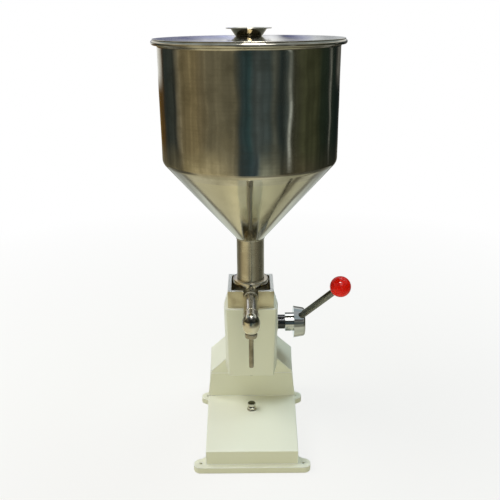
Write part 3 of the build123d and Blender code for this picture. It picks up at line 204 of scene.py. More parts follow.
def skin(name: str, points: Array, girth: float, closed: bool, sharp_deg: float) -> Piece:
    """Covers a grid of points, whose columns go round, with faces that point outwards.

    The sum of v0 . (v1 x v2) over the faces' triangles is six times the volume, and the faces are
    turned round where it is below zero. The UV places are metres round and metres along.

    Args:
        name: the piece's name.
        points: rows x columns x 3 places, in metres.
        girth: length of one turn in the UV places, in metres.
        closed: whether the last row joins the first. Otherwise each of the two is one pole.
        sharp_deg: edges sharper than this many degrees stay sharp.

    Returns:
        The finished object, at the origin.
    """
    rows, columns = points.shape[:2]
    steps = np.linalg.norm(np.roll(points[:, 0], -1, axis=0) - points[:, 0], axis=1)
    run = np.concatenate([[0.0], np.cumsum(steps)])

    def faces(*corners: tuple[Number, Array]) -> tuple[Array, Array]:
        """Point numbers and UV places of faces, from the rows and the columns of their corners."""
        row, column = (np.stack(part, axis=1) for part in zip(*(np.broadcast_arrays(*corner) for corner in corners)))
        pole = (row % (rows - 1) == 0) & (not closed)
        number = row % rows * columns + np.where(pole, 0, column % columns)
        return number, np.stack([girth * column / columns, run[row]], axis=-1)

    j, last = np.arange(columns), rows - 1
    between = np.arange(rows) if closed else np.arange(1, last - 1)
    row, column = (part.ravel() for part in np.meshgrid(between, j, indexing="ij"))
    groups = [faces((row, column), (row, column + 1), (row + 1, column + 1), (row + 1, column))]
    if not closed:
        groups += [faces((0, j), (1, j + 1), (1, j)), faces((last, j), (last - 1, j), (last - 1, j + 1))]
    flat = points.reshape(-1, 3)
    triangles = np.concatenate([number[:, [0, k, k + 1]] for number, _ in groups
                                for k in range(1, number.shape[1] - 1)])
    first, second, third = flat[triangles].transpose(1, 0, 2)
    if np.sum(first * np.cross(second, third)) < 0:
        groups = [(number[:, ::-1], places[:, ::-1]) for number, places in groups]
    used = np.unique(triangles)
    mesh = bpy.data.meshes.new(name)
    numbers = [face for number, _ in groups for face in np.searchsorted(used, number).tolist()]
    mesh.from_pydata(flat[used].tolist(), [], numbers)
    places = np.concatenate([places.ravel() for _, places in groups])
    mesh.uv_layers.new(name="metres").data.foreach_set("uv", places.astype(np.float32))
    return smoothed(name, mesh, sharp_deg)


def ring_surface(name: str, rows: list[tuple[Number, Number]], spindle: Spindle, columns: int, closed: bool = True,
                 sharp_deg: float = SHARP_DEG) -> Piece:
    """Makes a surface of two parameters round a spindle.

    Point (i, j) is origin + radius(i, j) (cos t(j) across + sin t(j) up) + height(i, j) along, with
    t(j) = 2 pi j / columns. An open surface ends in a pole at its first and last rows.

    Args:
        name: the piece's name.
        rows: radius and height of each row, as one number or as one for each column.
        spindle: the line that it goes round.
        columns: number of steps round it.
        closed: whether the last row joins the first.
        sharp_deg: edges sharper than this many degrees stay sharp.

    Returns:
        The finished object.
    """
    radius, height = (np.array([np.broadcast_to(value, columns) for value in part])[..., None] * MM
                      for part in zip(*rows))
    across, up, along = spindle.basis()
    turn = turns(columns)[:, None]
    points = np.array(spindle.origin) + radius * (np.cos(turn) * across + np.sin(turn) * up) + height * along
    return skin(name, points, FULL_TURN * radius.max(), closed, sharp_deg)


def turned(name: str, profile: Array, spindle: Spindle, columns: int, closed: bool = True,
           ripple: Callable[[float, Array], Array] | None = None) -> Piece:
    """Turns a profile round a spindle: radius(i, j) = r(i) + ripple(h(i), t(j)), height(i, j) = h(i).

    Args:
        name: the piece's name.
        profile: rows of radius and height.
        spindle: the line that it is turned round.
        columns: number of steps round it.
        closed: whether the profile is a loop. An open one starts and ends on the spindle.
        ripple: small change of radius by height and turn.

    Returns:
        The finished object.
    """
    turn = turns(columns)
    rows = [(radius + ripple(height, turn) if ripple else radius, height) for radius, height in profile]
    return ring_surface(name, rows, spindle, columns, closed)


def hexagon(flat_half: float, columns: int, phase_deg: float = 0.0) -> Array:
    """Distance from a hexagon's centre to its side: half its width / cos of the turn from the side's middle."""
    turn = np.arange(columns) * 360.0 / columns + phase_deg
    return flat_half / np.cos(np.radians(np.mod(turn, 60.0) - 30.0))


def hex_piece(name: str, across_flats: float, low: float, high: float, spindle: Spindle, phase_deg: float = 0.0,
              bore_r: float = 0.0) -> Piece:
    """Makes a hexagon nut, or a bolt's head where the bore is zero, with the curved chamfer of a turned bar.

    The side's edge at a turn lies inside the end face by (hexagon - 0.95 half width) tan 30 degrees.

    Args:
        name: the piece's name.
        across_flats: width over the flats.
        low: height of its lower face.
        high: height of its upper face.
        spindle: its axis.
        phase_deg: how far the hexagon is turned.
        bore_r: radius of its bore, or zero.

    Returns:
        The finished object.
    """
    soft, lead, face_share, chamfer = 0.12, 0.35, 0.95, math.radians(30.0)
    side = hexagon(across_flats / 2, HEX_COLUMNS, phase_deg)
    face_r = face_share * across_flats / 2
    drop = np.clip(side - face_r, 0.0, None) * math.tan(chamfer)
    end = [(bore_r, lead), (bore_r + lead, 0.0)] if bore_r else [(0.0, 0.0)]
    end += [(face_r * 0.985, 0.0), (face_r, soft * 0.3), (side - soft, drop), (side, drop + soft)]
    rows = [(radius, low + inset) for radius, inset in end]
    rows += [(radius, high - inset) for radius, inset in reversed(end)]
    return ring_surface(name, rows, spindle, HEX_COLUMNS, closed=bore_r > 0.0, sharp_deg=25.0)


def weld_bead(name: str, radius: float, height: float, bead: float, spindle: Spindle, ripples: int) -> Piece:
    """Makes a weld round a joint: a ring whose section swells and shrinks with each drop of the weld.

    Its points are (R + b(t) cos p, H + b(t) sin p), with
    b(t) = bead (0.92 + 0.16 |sin(ripples t / 2)|) (1 + 0.05 sin(3 t + 1) + 0.04 sin 7 t).

    Args:
        name: the piece's name.
        radius: radius of the ring's middle.
        height: its place along the spindle.
        bead: half the bead's width.
        spindle: the line that it goes round.
        ripples: number of drops in the ring.

    Returns:
        The finished object.
    """
    turn = turns(WELD_COLUMNS)
    uneven = 1.0 + 0.05 * np.sin(3 * turn + 1.0) + 0.04 * np.sin(7 * turn)
    swell = bead * (0.92 + 0.16 * np.abs(np.sin(ripples * turn / 2))) * uneven
    rows = [(radius + swell * np.cos(p), height + swell * np.sin(p)) for p in turns(BEAD_SIDES)]
    return ring_surface(name, rows, spindle, WELD_COLUMNS, sharp_deg=SMOOTH_DEG)


def seam_bead(name: str, foot: Pair, head: Pair, turn: float, lean: float, width: float, rise: float) -> Piece:
    """Makes a straight weld that lies on the hopper's sheet and tapers at its ends.

    Point (s, p) is foot + s (head - foot) + width/2 cos p sideways + rise(s) sin p outwards, where
    rise(s) = rise (0.85 + 0.15 |sin(pi length / drop)|) and p goes once round.

    Args:
        name: the piece's name.
        foot: radius and height where it starts.
        head: radius and height where it ends.
        turn: where it lies round the hopper, in radians.
        lean: how far the sheet leans from upright, in radians.
        width: its width.
        rise: how far it stands off the sheet.

    Returns:
        The finished object.
    """
    aside, ahead = math.cos(turn), math.sin(turn)
    start, end = (np.array([r * aside * MM, HOPPER_Y + r * ahead * MM, z * MM]) for r, z in (foot, head))
    way, out = end - start, np.array([aside * math.cos(lean), ahead * math.cos(lean), -math.sin(lean)])
    side = np.cross(way, out) / np.linalg.norm(np.cross(way, out))
    drops = np.linalg.norm(way) / (WELD_DROP * MM)
    share = np.linspace(0.0, 1.0, int(drops * 4))[:, None, None]
    tall = rise * (0.85 + 0.15 * np.abs(np.sin(math.pi * share * drops)))
    taper = np.sqrt(np.clip(1.0 - np.abs(2.0 * share - 1.0) ** SEAM_END_POWER, 0.0, 1.0)) * MM
    section = turns(BEAD_SIDES)[:, None]
    points = start + share * way + taper * (width / 2 * np.cos(section) * side + tall * np.sin(section) * out)
    return skin(name, points, math.pi * width * MM, closed=False, sharp_deg=SMOOTH_DEG)


def dressed_copy(node: str, sharp_deg: float = 30.0, bevel: float = 0.0) -> Piece:
    """Makes a finished copy of a CAD node: merged, smooth between its sharp edges, and with softened edges.

    Args:
        node: the CAD node's name.
        sharp_deg: edges sharper than this many degrees stay sharp.
        bevel: width of the softened edges, or zero for none.

    Returns:
        The copy, which stands for the node.
    """
    work = bmesh.new()
    work.from_mesh(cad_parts[node].data)
    bmesh.ops.remove_doubles(work, verts=work.verts, dist=MERGE_DISTANCE)
    work.verts.index_update()
    name = node + "_finished"
    mesh = bpy.data.meshes.new(name)
    mesh.from_pydata([v.co[:] for v in work.verts], [], [[v.index for v in f.verts] for f in work.faces])
    work.free()
    made = smoothed(name, mesh, sharp_deg)
    if bevel:
        soften = made.modifiers.new("softened_edges", "BEVEL")
        soften.width = bevel * MM
        soften.segments = 3
        soften.limit_method = "ANGLE"
        soften.angle_limit = math.radians(sharp_deg)
        soften.use_clamp_overlap = False
        soften.harden_normals = True
    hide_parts(node)
    return made


class Recipe:
    """A node tree, with short ways to add nodes and join them."""

    def __init__(self, name: str, world: bpy.types.World | None = None) -> None:
        """Starts a new material with no nodes, or takes the nodes out of a world."""
        self.owner = world or bpy.data.materials.new(name)
        self.owner.use_nodes = True
        self.tree = self.owner.node_tree
        self.tree.nodes.clear()

    def add(self, kind: str, inputs: dict[str | int, object] | None = None, **settings: object) -> bpy.types.Node:
        """Adds a node.

        Args:
            kind: the node's type, after the words ShaderNode.
            inputs: a number, vector, colour or socket for each input that is set.
            settings: the node's own properties.

        Returns:
            The node.
        """
        node = self.tree.nodes.new("ShaderNode" + kind)
        for key, value in settings.items():
            setattr(node, key, value)
        for key, value in (inputs or {}).items():
            socket = node.inputs[key]
            if isinstance(value, Socket):
                self.tree.links.new(value, socket)
            elif socket.type == "RGBA":
                socket.default_value = (*value, 1.0)
            else:
                socket.default_value = value
        return node

    def noise(self, vector: Socket, scale: float, detail: float) -> Socket:
        """Adds a noise pattern and returns its height."""
        return self.add("TexNoise", {"Vector": vector, "Scale": scale, "Detail": detail}).outputs["Fac"]

    def stretched(self, vector: Socket, scale: Point, detail: float) -> Socket:
        """Adds a noise pattern that is stretched by its scales along the axes."""
        return self.noise(self.add("Mapping", {"Vector": vector, "Scale": scale}).outputs["Vector"], 1.0, detail)

    def math(self, operation: str, first: Socket | float, second: Socket | float = 0.0) -> Socket:
        """Joins two values with one sum or product."""
        return self.add("Math", {0: first, 1: second}, operation=operation).outputs[0]

    def spread(self, value: Socket, low: float, high: float, to_low: float = 0.0, to_high: float = 1.0) -> Socket:
        """Maps a range of values onto another, held at its ends."""
        return self.add("MapRange", {0: value, 1: low, 2: high, 3: to_low, 4: to_high}).outputs[0]

    def held(self, value: Socket, low: float = 0.0, high: float = 1.0) -> Socket:
        """Holds a value between two limits."""
        return self.add("Clamp", {0: value, 1: low, 2: high}).outputs[0]

    def blend(self, share: Socket, first: Socket | Colour, second: Socket | Colour) -> Socket:
        """Mixes two colours."""
        return self.add("Mix", {0: share, 6: first, 7: second}, data_type="RGBA").outputs[2]

    def bevelled(self, edge: float) -> Socket:
        """Normal of the surface with its edges rounded by a radius."""
        return self.add("Bevel", {"Radius": edge * MM}, samples=6).outputs[0]

    def bumps(self, height: Socket, strength: float, distance: float, edge: float = 0.0) -> Socket:
        """Turns a height pattern into a bumped normal, over rounded edges where their radius isn't zero."""
        inputs = {"Height": height, "Strength": strength, "Distance": distance * MM}
        if edge:
            inputs["Normal"] = self.bevelled(edge)
        return self.add("Bump", inputs).outputs[0]

    def finish(self, kind: str, inputs: dict[str | int, object]) -> Material | bpy.types.World:
        """Adds the last shader and the output, and returns the material or world."""
        shader = self.add(kind, inputs)
        output = "OutputMaterial" if isinstance(self.owner, Material) else "OutputWorld"
        self.add(output, {"Surface": shader.outputs[0]})
        return self.owner


# Scales of the noise patterns, and how softly a heated spot and a cap of painted light end, in metres.
CLOUD_SCALE, SMEAR_SCALES = 38.0, (14.0, 14.0, 5.0)
PEEL_SCALE, CAST_SCALE, SLOW_SCALE = 150.0, 90.0, 9.0
SPECK_SCALE, HAZE_SCALE = 260.0, 30.0
HEAT_FADE, HEAT_WANDER, CAP_FADE = 0.010, 0.014, 0.0004
HEAT_TINT = (0.72, 0.52, 0.23)
# Pale colour of the painted highlight along the enamel's rounded edges.
EDGE_HIGHLIGHT_CREAM = (1.0, 1.0, 0.95)


@dataclass(frozen=True)
class Metal:
    """Bare metal with polishing marks, cloudy patches and faint smears.

    Above cap_z, where it is in front of cap_y, the cap colour is painted light: a painted reflection on the elbow and
    the deck bolt, a painted highlight on the frame's rims. Its tone differs within heat_r of a weld's heat. The depth
    of its marks is in millimetres, and these places are in metres.
    """

    name: str
    slot: str
    colour: Colour
    roughness: float
    grain: Grain
    grain_depth: float
    grain_share: float
    stain: Colour = (0.30, 0.27, 0.20)
    stain_share: float = 0.12
    cap_z: float = 0.0
    cap_y: float = 9.0
    cap: Colour = (0.0, 0.0, 0.0)
    heat_at: Point = (0.0, 0.0, 0.0)
    heat_r: float = 0.0

    def build(self) -> Material:
        """Mixes the metal and returns its material."""
        mix = Recipe(self.name)
        places = mix.add("TexCoord")
        plain = places.outputs["Object"]
        marks = places.outputs["UV"] if self.grain in (Grain.ROUND, Grain.SLOPE) else plain
        streaks = mix.stretched(marks, self.grain.value, 4.0)
        cloud = mix.noise(plain, CLOUD_SCALE, 3.0)
        smear = mix.stretched(plain, SMEAR_SCALES, 2.0)
        rough = mix.math("ADD", mix.math("MULTIPLY", mix.math("SUBTRACT", streaks, 0.5), 2 * self.grain_share),
                         mix.spread(cloud, 0.3, 0.75, self.roughness * 0.75, self.roughness * 1.35))
        patches = mix.math("ADD", mix.spread(smear, 0.45, 0.8, 0.0, self.stain_share),
                           mix.spread(cloud, 0.42, 0.66, 0.0, self.stain_share * 1.3))
        worn = mix.math("ADD", patches, mix.spread(streaks, 0.42, 0.72, 0.0, self.stain_share * 0.45))
        tone = mix.blend(mix.held(worn), self.colour, self.stain)
        if self.heat_r:
            far = mix.add("VectorMath", {0: plain, 1: self.heat_at}, operation="DISTANCE").outputs["Value"]
            far = mix.math("ADD", far, mix.math("MULTIPLY", cloud, HEAT_WANDER))
            tone = mix.blend(mix.spread(far, self.heat_r, self.heat_r + HEAT_FADE, 0.65, 0.0), tone, HEAT_TINT)
        # The cap colour paints light on the part's top: dark painted reflections on the elbow and deck bolt, a pale
        # painted highlight on the frame.
        if self.cap_z:
            place = mix.add("SeparateXYZ", {0: plain}).outputs
            level = mix.math("ADD", place[2], mix.math("MULTIPLY", cloud, CAP_FADE))
            front = mix.spread(place[1], self.cap_y - 0.0005, self.cap_y + 0.0005, 0.92, 0.0)
            above = mix.spread(level, self.cap_z, self.cap_z + CAP_FADE)
            tone = mix.blend(mix.math("MULTIPLY", above, front), tone, self.cap)
        return mix.finish("BsdfPrincipled", {
            "Base Color": tone,
            "Metallic": 1.0,
            "Roughness": mix.held(rough, 0.03, 0.9),
            "Normal": mix.bumps(streaks, 0.5, self.grain_depth),
        })


@dataclass(frozen=True)
class Enamel:
    """Enamel over a casting: orange peel, slow changes of tone, a painted highlight along the edges and a tone that is
    darker towards the bottom.
    """

    name: str
    slot: str
    colour: Colour
    shade: Colour
    roughness: float = 0.5
    edge: float = 2.0

    def build(self) -> Material:
        """Mixes the enamel and returns its material."""
        mix = Recipe(self.name)
        plain = mix.add("TexCoord").outputs["Object"]
        peel, cast = mix.noise(plain, PEEL_SCALE, 0.0), mix.noise(plain, CAST_SCALE, 3.0)
        slow = mix.noise(plain, SLOW_SCALE, 3.0)
        # Tone that is darker towards the bottom, within 50 mm of the floor, and in slow patches.
        low = mix.spread(mix.add("SeparateXYZ", {0: plain}).outputs[2], 0.0, 0.05, 0.35, 0.0)
        darker_low_and_patchy = mix.math("ADD", mix.math("MULTIPLY", low, slow), mix.spread(slow, 0.4, 0.8, 0.0, 0.25))
        # Painted highlight: the colour turns pale where the rounded-edge normal leans off the true normal.
        flat = mix.add("NewGeometry").outputs["Normal"]
        even = mix.add("VectorMath", {0: mix.bevelled(self.edge), 1: flat}, operation="DOT_PRODUCT").outputs["Value"]
        return mix.finish("BsdfPrincipled", {
            "Base Color": mix.blend(mix.spread(even, 0.88, 0.995, 1.0, 0.0), mix.blend(darker_low_and_patchy, self.colour, self.shade),
                                    EDGE_HIGHLIGHT_CREAM),
            "Roughness": mix.spread(cast, 0.3, 0.7, self.roughness * 0.9, self.roughness * 1.1),
            "Specular IOR Level": 0.45,
            "Normal": mix.bumps(peel, 0.12, 0.02, self.edge),
        })


@dataclass(frozen=True)
class Moulding:
    """Plastic or rubber: an even colour with fine specks, slight haze and a soft surface."""

    name: str
    slot: str
    colour: Colour
    shade: Colour
    roughness: float
    coat: float = 0.0
    bump: float = 0.01
    gloss: float = 0.5

    def build(self) -> Material:
        """Mixes the plastic and returns its material."""
        mix = Recipe(self.name)
        plain = mix.add("TexCoord").outputs["Object"]
        fine, slow = mix.noise(plain, SPECK_SCALE, 3.0), mix.noise(plain, HAZE_SCALE, 2.0)
        return mix.finish("BsdfPrincipled", {
            "Base Color": mix.blend(mix.spread(slow, 0.35, 0.75, 0.0, 0.6), self.colour, self.shade),
            "Roughness": mix.spread(fine, 0.3, 0.7, self.roughness * 0.9, self.roughness * 1.1),
            "Specular IOR Level": self.gloss,
            "Coat Weight": self.coat,
            "Coat Roughness": 0.04,
            "Normal": mix.bumps(fine, 0.25, self.bump),
        })


Finish = Metal | Enamel | Moulding
CLOUDY = Grain.CLOUDY
POLISHED, SATIN, PLATED, BRIGHT = "polished_stainless", "satin_stainless", "chrome_plate", "bright_fastener"
SHEET = (0.46, 0.43, 0.36)
CAST = (0.60, 0.56, 0.46)
POLISHED_ROUND = Metal("polished_sheet_round", POLISHED, SHEET, 0.11, Grain.ROUND, 0.006, 0.06,
                       stain=(0.22, 0.20, 0.15), stain_share=0.3)
POLISHED_CONE = Metal("polished_cone", POLISHED, (0.46, 0.43, 0.335), 0.12, Grain.SLOPE, 0.012, 0.06, stain_share=0.1)
POLISHED_SHEET = Metal("polished_sheet", POLISHED, SHEET, 0.17, CLOUDY, 0.003, 0.06)
SATIN_ROUND = Metal("satin_round", SATIN, (0.52, 0.48, 0.385), 0.27, Grain.ROUND, 0.004, 0.08,
                    stain=(0.30, 0.25, 0.17), stain_share=0.3)
NUT_STEEL = Metal("tarnished_nut", SATIN, (0.34, 0.31, 0.25), 0.22, CLOUDY, 0.004, 0.06)
SATIN_PIPE = Metal("satin_pipe", SATIN, (0.66, 0.64, 0.58), 0.15, Grain.ALONG_Y, 0.003, 0.05)
WORN_TUBE = Metal("worn_tube", SATIN, (0.30, 0.27, 0.21), 0.30, CLOUDY, 0.004, 0.05,
                  stain=(0.12, 0.10, 0.07), stain_share=0.7)
SATIN_CAST = Metal("satin_elbow", SATIN, CAST, 0.2, CLOUDY, 0.01, 0.05)
# The elbow's dark cap on its top front is a painted reflection.
ELBOW_STEEL = Metal("elbow_steel", SATIN, CAST, 0.17, CLOUDY, 0.01, 0.05,
                    cap_z=0.2528, cap_y=-0.0590, cap=(0.07, 0.068, 0.06))
SEAM_STEEL = Metal("dark_seam", SATIN, (0.20, 0.175, 0.13), 0.3, CLOUDY, 0.004, 0.05)
# The frame's pale cap on its rims' top faces is a painted highlight.
BRUSHED = Metal("brushed_frame_steel", "brushed_frame", (0.70, 0.64, 0.46), 0.40, Grain.ALONG_X, 0.006, 0.10,
                stain=(0.38, 0.31, 0.19), stain_share=0.4, cap_z=0.2655, cap=(0.78, 0.80, 0.79),
                heat_at=(0.0, 0.0335, 0.252), heat_r=0.014)
WELD = Metal("weld_steel", SATIN, (0.52, 0.48, 0.38), 0.24, CLOUDY, 0.01, 0.05)
CHROME = Metal("bright_chrome", PLATED, (0.50, 0.51, 0.505), 0.08, CLOUDY, 0.0002, 0.01)
STEM_PLATE = Metal("dull_plated_stem", PLATED, (0.16, 0.162, 0.155), 0.16, CLOUDY, 0.0002, 0.01)
# The bolt head's dark cap on its top is a painted reflection.
DECK_STEEL = Metal("deck_bolt_painted_dark_top", BRIGHT, (0.62, 0.60, 0.52), 0.16, CLOUDY, 0.002, 0.04,
                   cap_z=0.0501, cap=(0.06, 0.06, 0.03))
# The deck bolt's shank is near black as painted shade in the gap between its nut and head.
GAP_SHADE_SHANK = Metal("shank_painted_gap_shade", BRIGHT, (0.05, 0.045, 0.035), 0.3, CLOUDY, 0.002, 0.04)
FASTENER = Metal("bright_fastener_steel", BRIGHT, (0.52, 0.50, 0.45), 0.2, CLOUDY, 0.006, 0.05)
VALVE_STEEL = Metal("pale_machined_steel", "machined_steel", (0.66, 0.62, 0.50), 0.42, Grain.ALONG_Z, 0.004, 0.07)
COLLAR_STEEL = Metal("tinted_collar", SATIN, (0.50, 0.46, 0.38), 0.16, CLOUDY, 0.004, 0.05,
                     heat_at=(-0.024, 0.052, 0.270), heat_r=0.012)
MACHINED = Metal("machined_parts", "machined_steel", (0.50, 0.49, 0.45), 0.28, Grain.ALONG_Z, 0.004, 0.07)
CREAM = Enamel("cream_enamel", "cream_paint", (0.80, 0.80, 0.63), (0.74, 0.72, 0.52))
RED = Moulding("red_phenolic", "red_ball", (0.95, 0.010, 0.002), (0.86, 0.009, 0.002), 0.13, bump=0.0001, gloss=0.26)
BLACK = Moulding("black_plastic", "black_bush", (0.007, 0.008, 0.011), (0.011, 0.012, 0.016), 0.14, 0.12, 0.001)
WHITE_RING = Moulding("ring_plastic_white", "ring_plastic", (0.80, 0.80, 0.77), (0.72, 0.71, 0.66), 0.45)
SEAL = Moulding("pale_seal", "seal_rubber", (0.62, 0.61, 0.56), (0.50, 0.49, 0.44), 0.6, bump=0.03)

# The CAD nodes that each finish goes on. Some of them are hidden, because a piece stands for them.
NODES_IN: dict[Finish, str] = {
    FASTENER: "casting_screws deck_bolt deck_nut frame_screws guide_screws rack_screws stop_screw stop_nut "
              "lid_screw lid_nut piston_nut poppet_nut hub_screw pinion_circlips",
    MACHINED: "pump_cylinder valve_body inlet_guide inlet_poppet inlet_spring outlet_spring piston piston_rod "
              "crosshead rack rack_guide pinion pinion_key lever_shaft",
    CHROME: "outlet_ball lever_hub lever_stem",
    CREAM: "base_casting head_casting",
    BRUSHED: "block_frame",
    POLISHED_SHEET: "hopper_barrel hopper_knuckle hopper_cone lid lid_knob",
    SATIN_CAST: "hopper_neck hopper_collar",
    SATIN_PIPE: "outlet_pipe",
    ELBOW_STEEL: "outlet_elbow",
    NUT_STEEL: "nozzle_nut",
    WORN_TUBE: "nozzle_tube",
    RED: "lever_knob",
    BLACK: "right_bush left_bush",
    WHITE_RING: "piston_rings",
    SEAL: "cylinder_gasket hopper_gasket",
}


class Workshop:
    """Keeps one material for each finish, and puts finished pieces on their bodies."""

    def __init__(self) -> None:
        """Starts with no material mixed."""
        self.mixed: dict[Finish, Material] = {}

    def dress(self, piece: Piece, finish: Finish) -> None:
        """Gives a piece the material of its finish, which is mixed the first time."""
        if finish not in self.mixed:
            self.mixed[finish] = finish.build()
        piece.data.materials.clear()
        piece.data.materials.append(self.mixed[finish])

    def place(self, piece: Piece, finish: Finish, body: Body, *nodes: str) -> Piece:
        """Dresses a piece, sets it on its body and hides the CAD nodes that it stands for.

        Args:
            piece: the mesh object.
            finish: what it is finished with.
            body: the body that it rides on.
            nodes: the CAD nodes that it replaces.

        Returns:
            The piece.
        """
        self.dress(piece, finish)
        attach(piece, body.value)
        if nodes:
            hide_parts(*nodes)
        log.info("%s on %s, %d faces", piece.name, body.value, len(piece.data.polygons))
        return piece

    def dress_nodes(self) -> None:
        """Dresses every CAD node."""
        for finish, nodes in NODES_IN.items():
            for node in nodes.split():
                self.dress(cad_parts[node], finish)
            log.info("%s on the nodes %s", finish.name, nodes)


@dataclass
class Hopper:
    """The steel hopper: barrel with rolled bead, cone, neck with flange, collar and their welds."""

    barrel_r: float = 145.5
    sheet: float = 1.5
    weld_r: float = 133.0
    cone_top: float = 478.0
    knuckle_r: float = 13.0
    knuckle_edge: float = 1.0
    ledge: float = 676.0
    bead_r: float = 3.8
    bead_at: Pair = (151.2, 679.8)
    mouth: Pair = (148.3, 677.3)
    mouth_foot: float = 676.6
    mouth_r: float = 3.2
    neck_r: float = 24.15
    neck_top: float = 352.0
    neck_foot: float = 271.5
    flange_r: float = 27.0
    flange_t: float = 2.0
    collar_r: float = 31.5
    collar_foot: float = 266.3
    collar_top: float = 276.0
    collar_gap: float = 0.2
    wave: float = 0.22
    calm_top: float = 12.0
    seam_turn: float = math.radians(-90.6)
    columns: int = 320
    neck_columns: int = 160

    def lean(self) -> float:
        """The cone wall's lean from upright, in radians."""
        return math.atan2(self.weld_r - self.neck_r, self.cone_top - self.neck_top)

    def slant_t(self) -> float:
        """The cone sheet's thickness along a level cut: sheet / cos of the wall's lean."""
        return self.sheet / math.cos(self.lean())

    def corner(self, radius: float, start_r: float) -> float:
        """Height at which the cone's slope, carried on from a radius at its top, reaches a larger radius."""
        return self.cone_top + (radius - start_r) / math.tan(self.lean())

    def knuckle_top(self) -> float:
        """Height of the knuckle's upper weld: the arc's end and a short upright edge."""
        arc_rise = self.knuckle_r * math.tan(self.lean() / 2)
        return self.corner(self.barrel_r, self.weld_r) + arc_rise + self.knuckle_edge

    def hammering(self, height: float, turn: Array) -> Array:
        """Slow unevenness of rolled sheet: a sum of waves round and up the barrel that fades out at both ends."""
        foot = self.knuckle_top()
        share = np.clip((height - foot) / (self.ledge - self.calm_top - foot), 0.0, 1.0)
        waves = (0.55 * np.sin(5 * turn + 0.038 * height + 0.4) + 0.35 * np.sin(9 * turn - 0.061 * height + 1.9)
                 + 0.30 * np.sin(14 * turn + 0.095 * height + 4.0) + 0.25 * np.sin(23 * turn - 0.022 * height + 2.2))
        return self.wave * np.sin(math.pi * share) ** 0.5 * waves

    def flats(self, height: float, turn: Array) -> Array:
        """Slow flats left by rolling the cone: a sum of waves that fades out at both welds."""
        share = (height - self.neck_top) / (self.cone_top - self.neck_top)
        waves = np.sin(6 * turn + 0.5) + 0.6 * np.sin(11 * turn + 0.030 * height)
        return self.wave * np.sin(math.pi * np.clip(share, 0.0, 1.0)) * waves

    def barrel(self) -> Piece:
        """Turns the barrel: wall, ledge, rolled bead and inner wall in one closed profile."""
        inner_r, foot = self.barrel_r - self.sheet, self.knuckle_top()
        outer = rounded([(self.barrel_r, foot, 0.0), (self.barrel_r, self.ledge, self.bead_r),
                         (self.bead_at[0] - 0.02, self.ledge, 0.0)], closed=False, steps=8)
        bead = arc(self.bead_at, self.bead_r, -90.0, 218.0, 26)
        inner = rounded([(*self.mouth, 0.0), (inner_r, self.mouth_foot, self.mouth_r), (inner_r, foot, 0.0)],
                        closed=False, steps=8)
        profile = np.concatenate([refined(outer, 6.0), bead, refined(inner, 12.0)])
        return turned("barrel_sheet", profile, HOPPER_AXIS, self.columns, ripple=self.hammering)

    def knuckle(self) -> Piece:
        """Turns the knuckle: two arcs of one centre, a sheet apart, with the slope below and the edge above."""
        inner_r, foot_r, top = self.barrel_r - self.sheet, self.weld_r - self.slant_t(), self.knuckle_top()
        outer = rounded([(self.weld_r, self.cone_top, 0.0),
                         (self.barrel_r, self.corner(self.barrel_r, self.weld_r), self.knuckle_r),
                         (self.barrel_r, top, 0.0)], closed=False, steps=12)
        inner = rounded([(inner_r, top, 0.0), (inner_r, self.corner(inner_r, foot_r), self.knuckle_r - self.sheet),
                         (foot_r, self.cone_top, 0.0)], closed=False, steps=8)
        return turned("knuckle_sheet", np.concatenate([outer, inner]), HOPPER_AXIS, self.columns)

    def cone(self) -> Piece:
        """Turns the cone's sheet, level at both ends where it is welded."""
        ends = np.array([[self.neck_r, self.neck_top], [self.weld_r, self.cone_top]])
        inside = ends[::-1] - [self.slant_t(), 0.0]
        profile = np.concatenate([refined(ends, 5.0), refined(inside, 16.0)])
        return turned("cone_sheet", profile, HOPPER_AXIS, self.columns, ripple=self.flats)

    def neck(self) -> Piece:
        """Turns the neck tube with its flange."""
        inner_r, flange_top = self.neck_r - self.sheet, self.neck_foot + self.flange_t
        return turned("neck_tube", rounded([
            (inner_r, self.neck_foot, 0.3), (self.flange_r, self.neck_foot, 0.3), (self.flange_r, flange_top, 0.3),
            (self.neck_r, flange_top, 0.6), (self.neck_r, self.neck_top, 0.0), (inner_r, self.neck_top, 0.0),
        ], steps=4), HOPPER_AXIS, self.neck_columns)

    def collar(self) -> Piece:
        """Turns the collar that clamps the neck's flange."""
        wide, narrow = self.flange_r + self.collar_gap, self.neck_r + self.collar_gap
        under = self.neck_foot + self.flange_t
        return turned("neck_collar", rounded([
            (wide, self.collar_foot, 0.3), (self.collar_r, self.collar_foot, 0.6),
            (self.collar_r, self.collar_top, 1.25), (narrow, self.collar_top, 0.3),
            (narrow, under, 0.0), (wide, under, 0.0),
        ]), HOPPER_AXIS, self.neck_columns)

    def build(self, shop: Workshop) -> None:
        """Makes and dresses every piece of the hopper."""
        stand = Body.STAND
        shop.place(self.barrel(), POLISHED_ROUND, stand, "hopper_barrel")
        shop.place(self.knuckle(), POLISHED_ROUND, stand, "hopper_knuckle")
        shop.place(self.cone(), POLISHED_CONE, stand, "hopper_cone")
        shop.place(self.neck(), SATIN_ROUND, stand, "hopper_neck")
        shop.place(self.collar(), COLLAR_STEEL, stand, "hopper_collar")
        joint = weld_bead("weld_neck_to_cone", self.neck_r + 0.15, self.neck_top, 0.9, HOPPER_AXIS, 96)
        shop.place(joint, WELD, stand)
        on_cone = seam_bead("seam_cone", (self.neck_r, self.neck_top + 1.0), (self.weld_r, self.cone_top - 1.0),
                            self.seam_turn, self.lean(), 2.6, 0.28)
        shop.place(on_cone, SEAM_STEEL, stand)
        on_neck = seam_bead("seam_neck", (self.neck_r, self.collar_top + 1.5), (self.neck_r, self.neck_top - 1.0),
                            self.seam_turn, 0.0, 1.8, 0.2)
        shop.place(on_neck, WELD, stand)


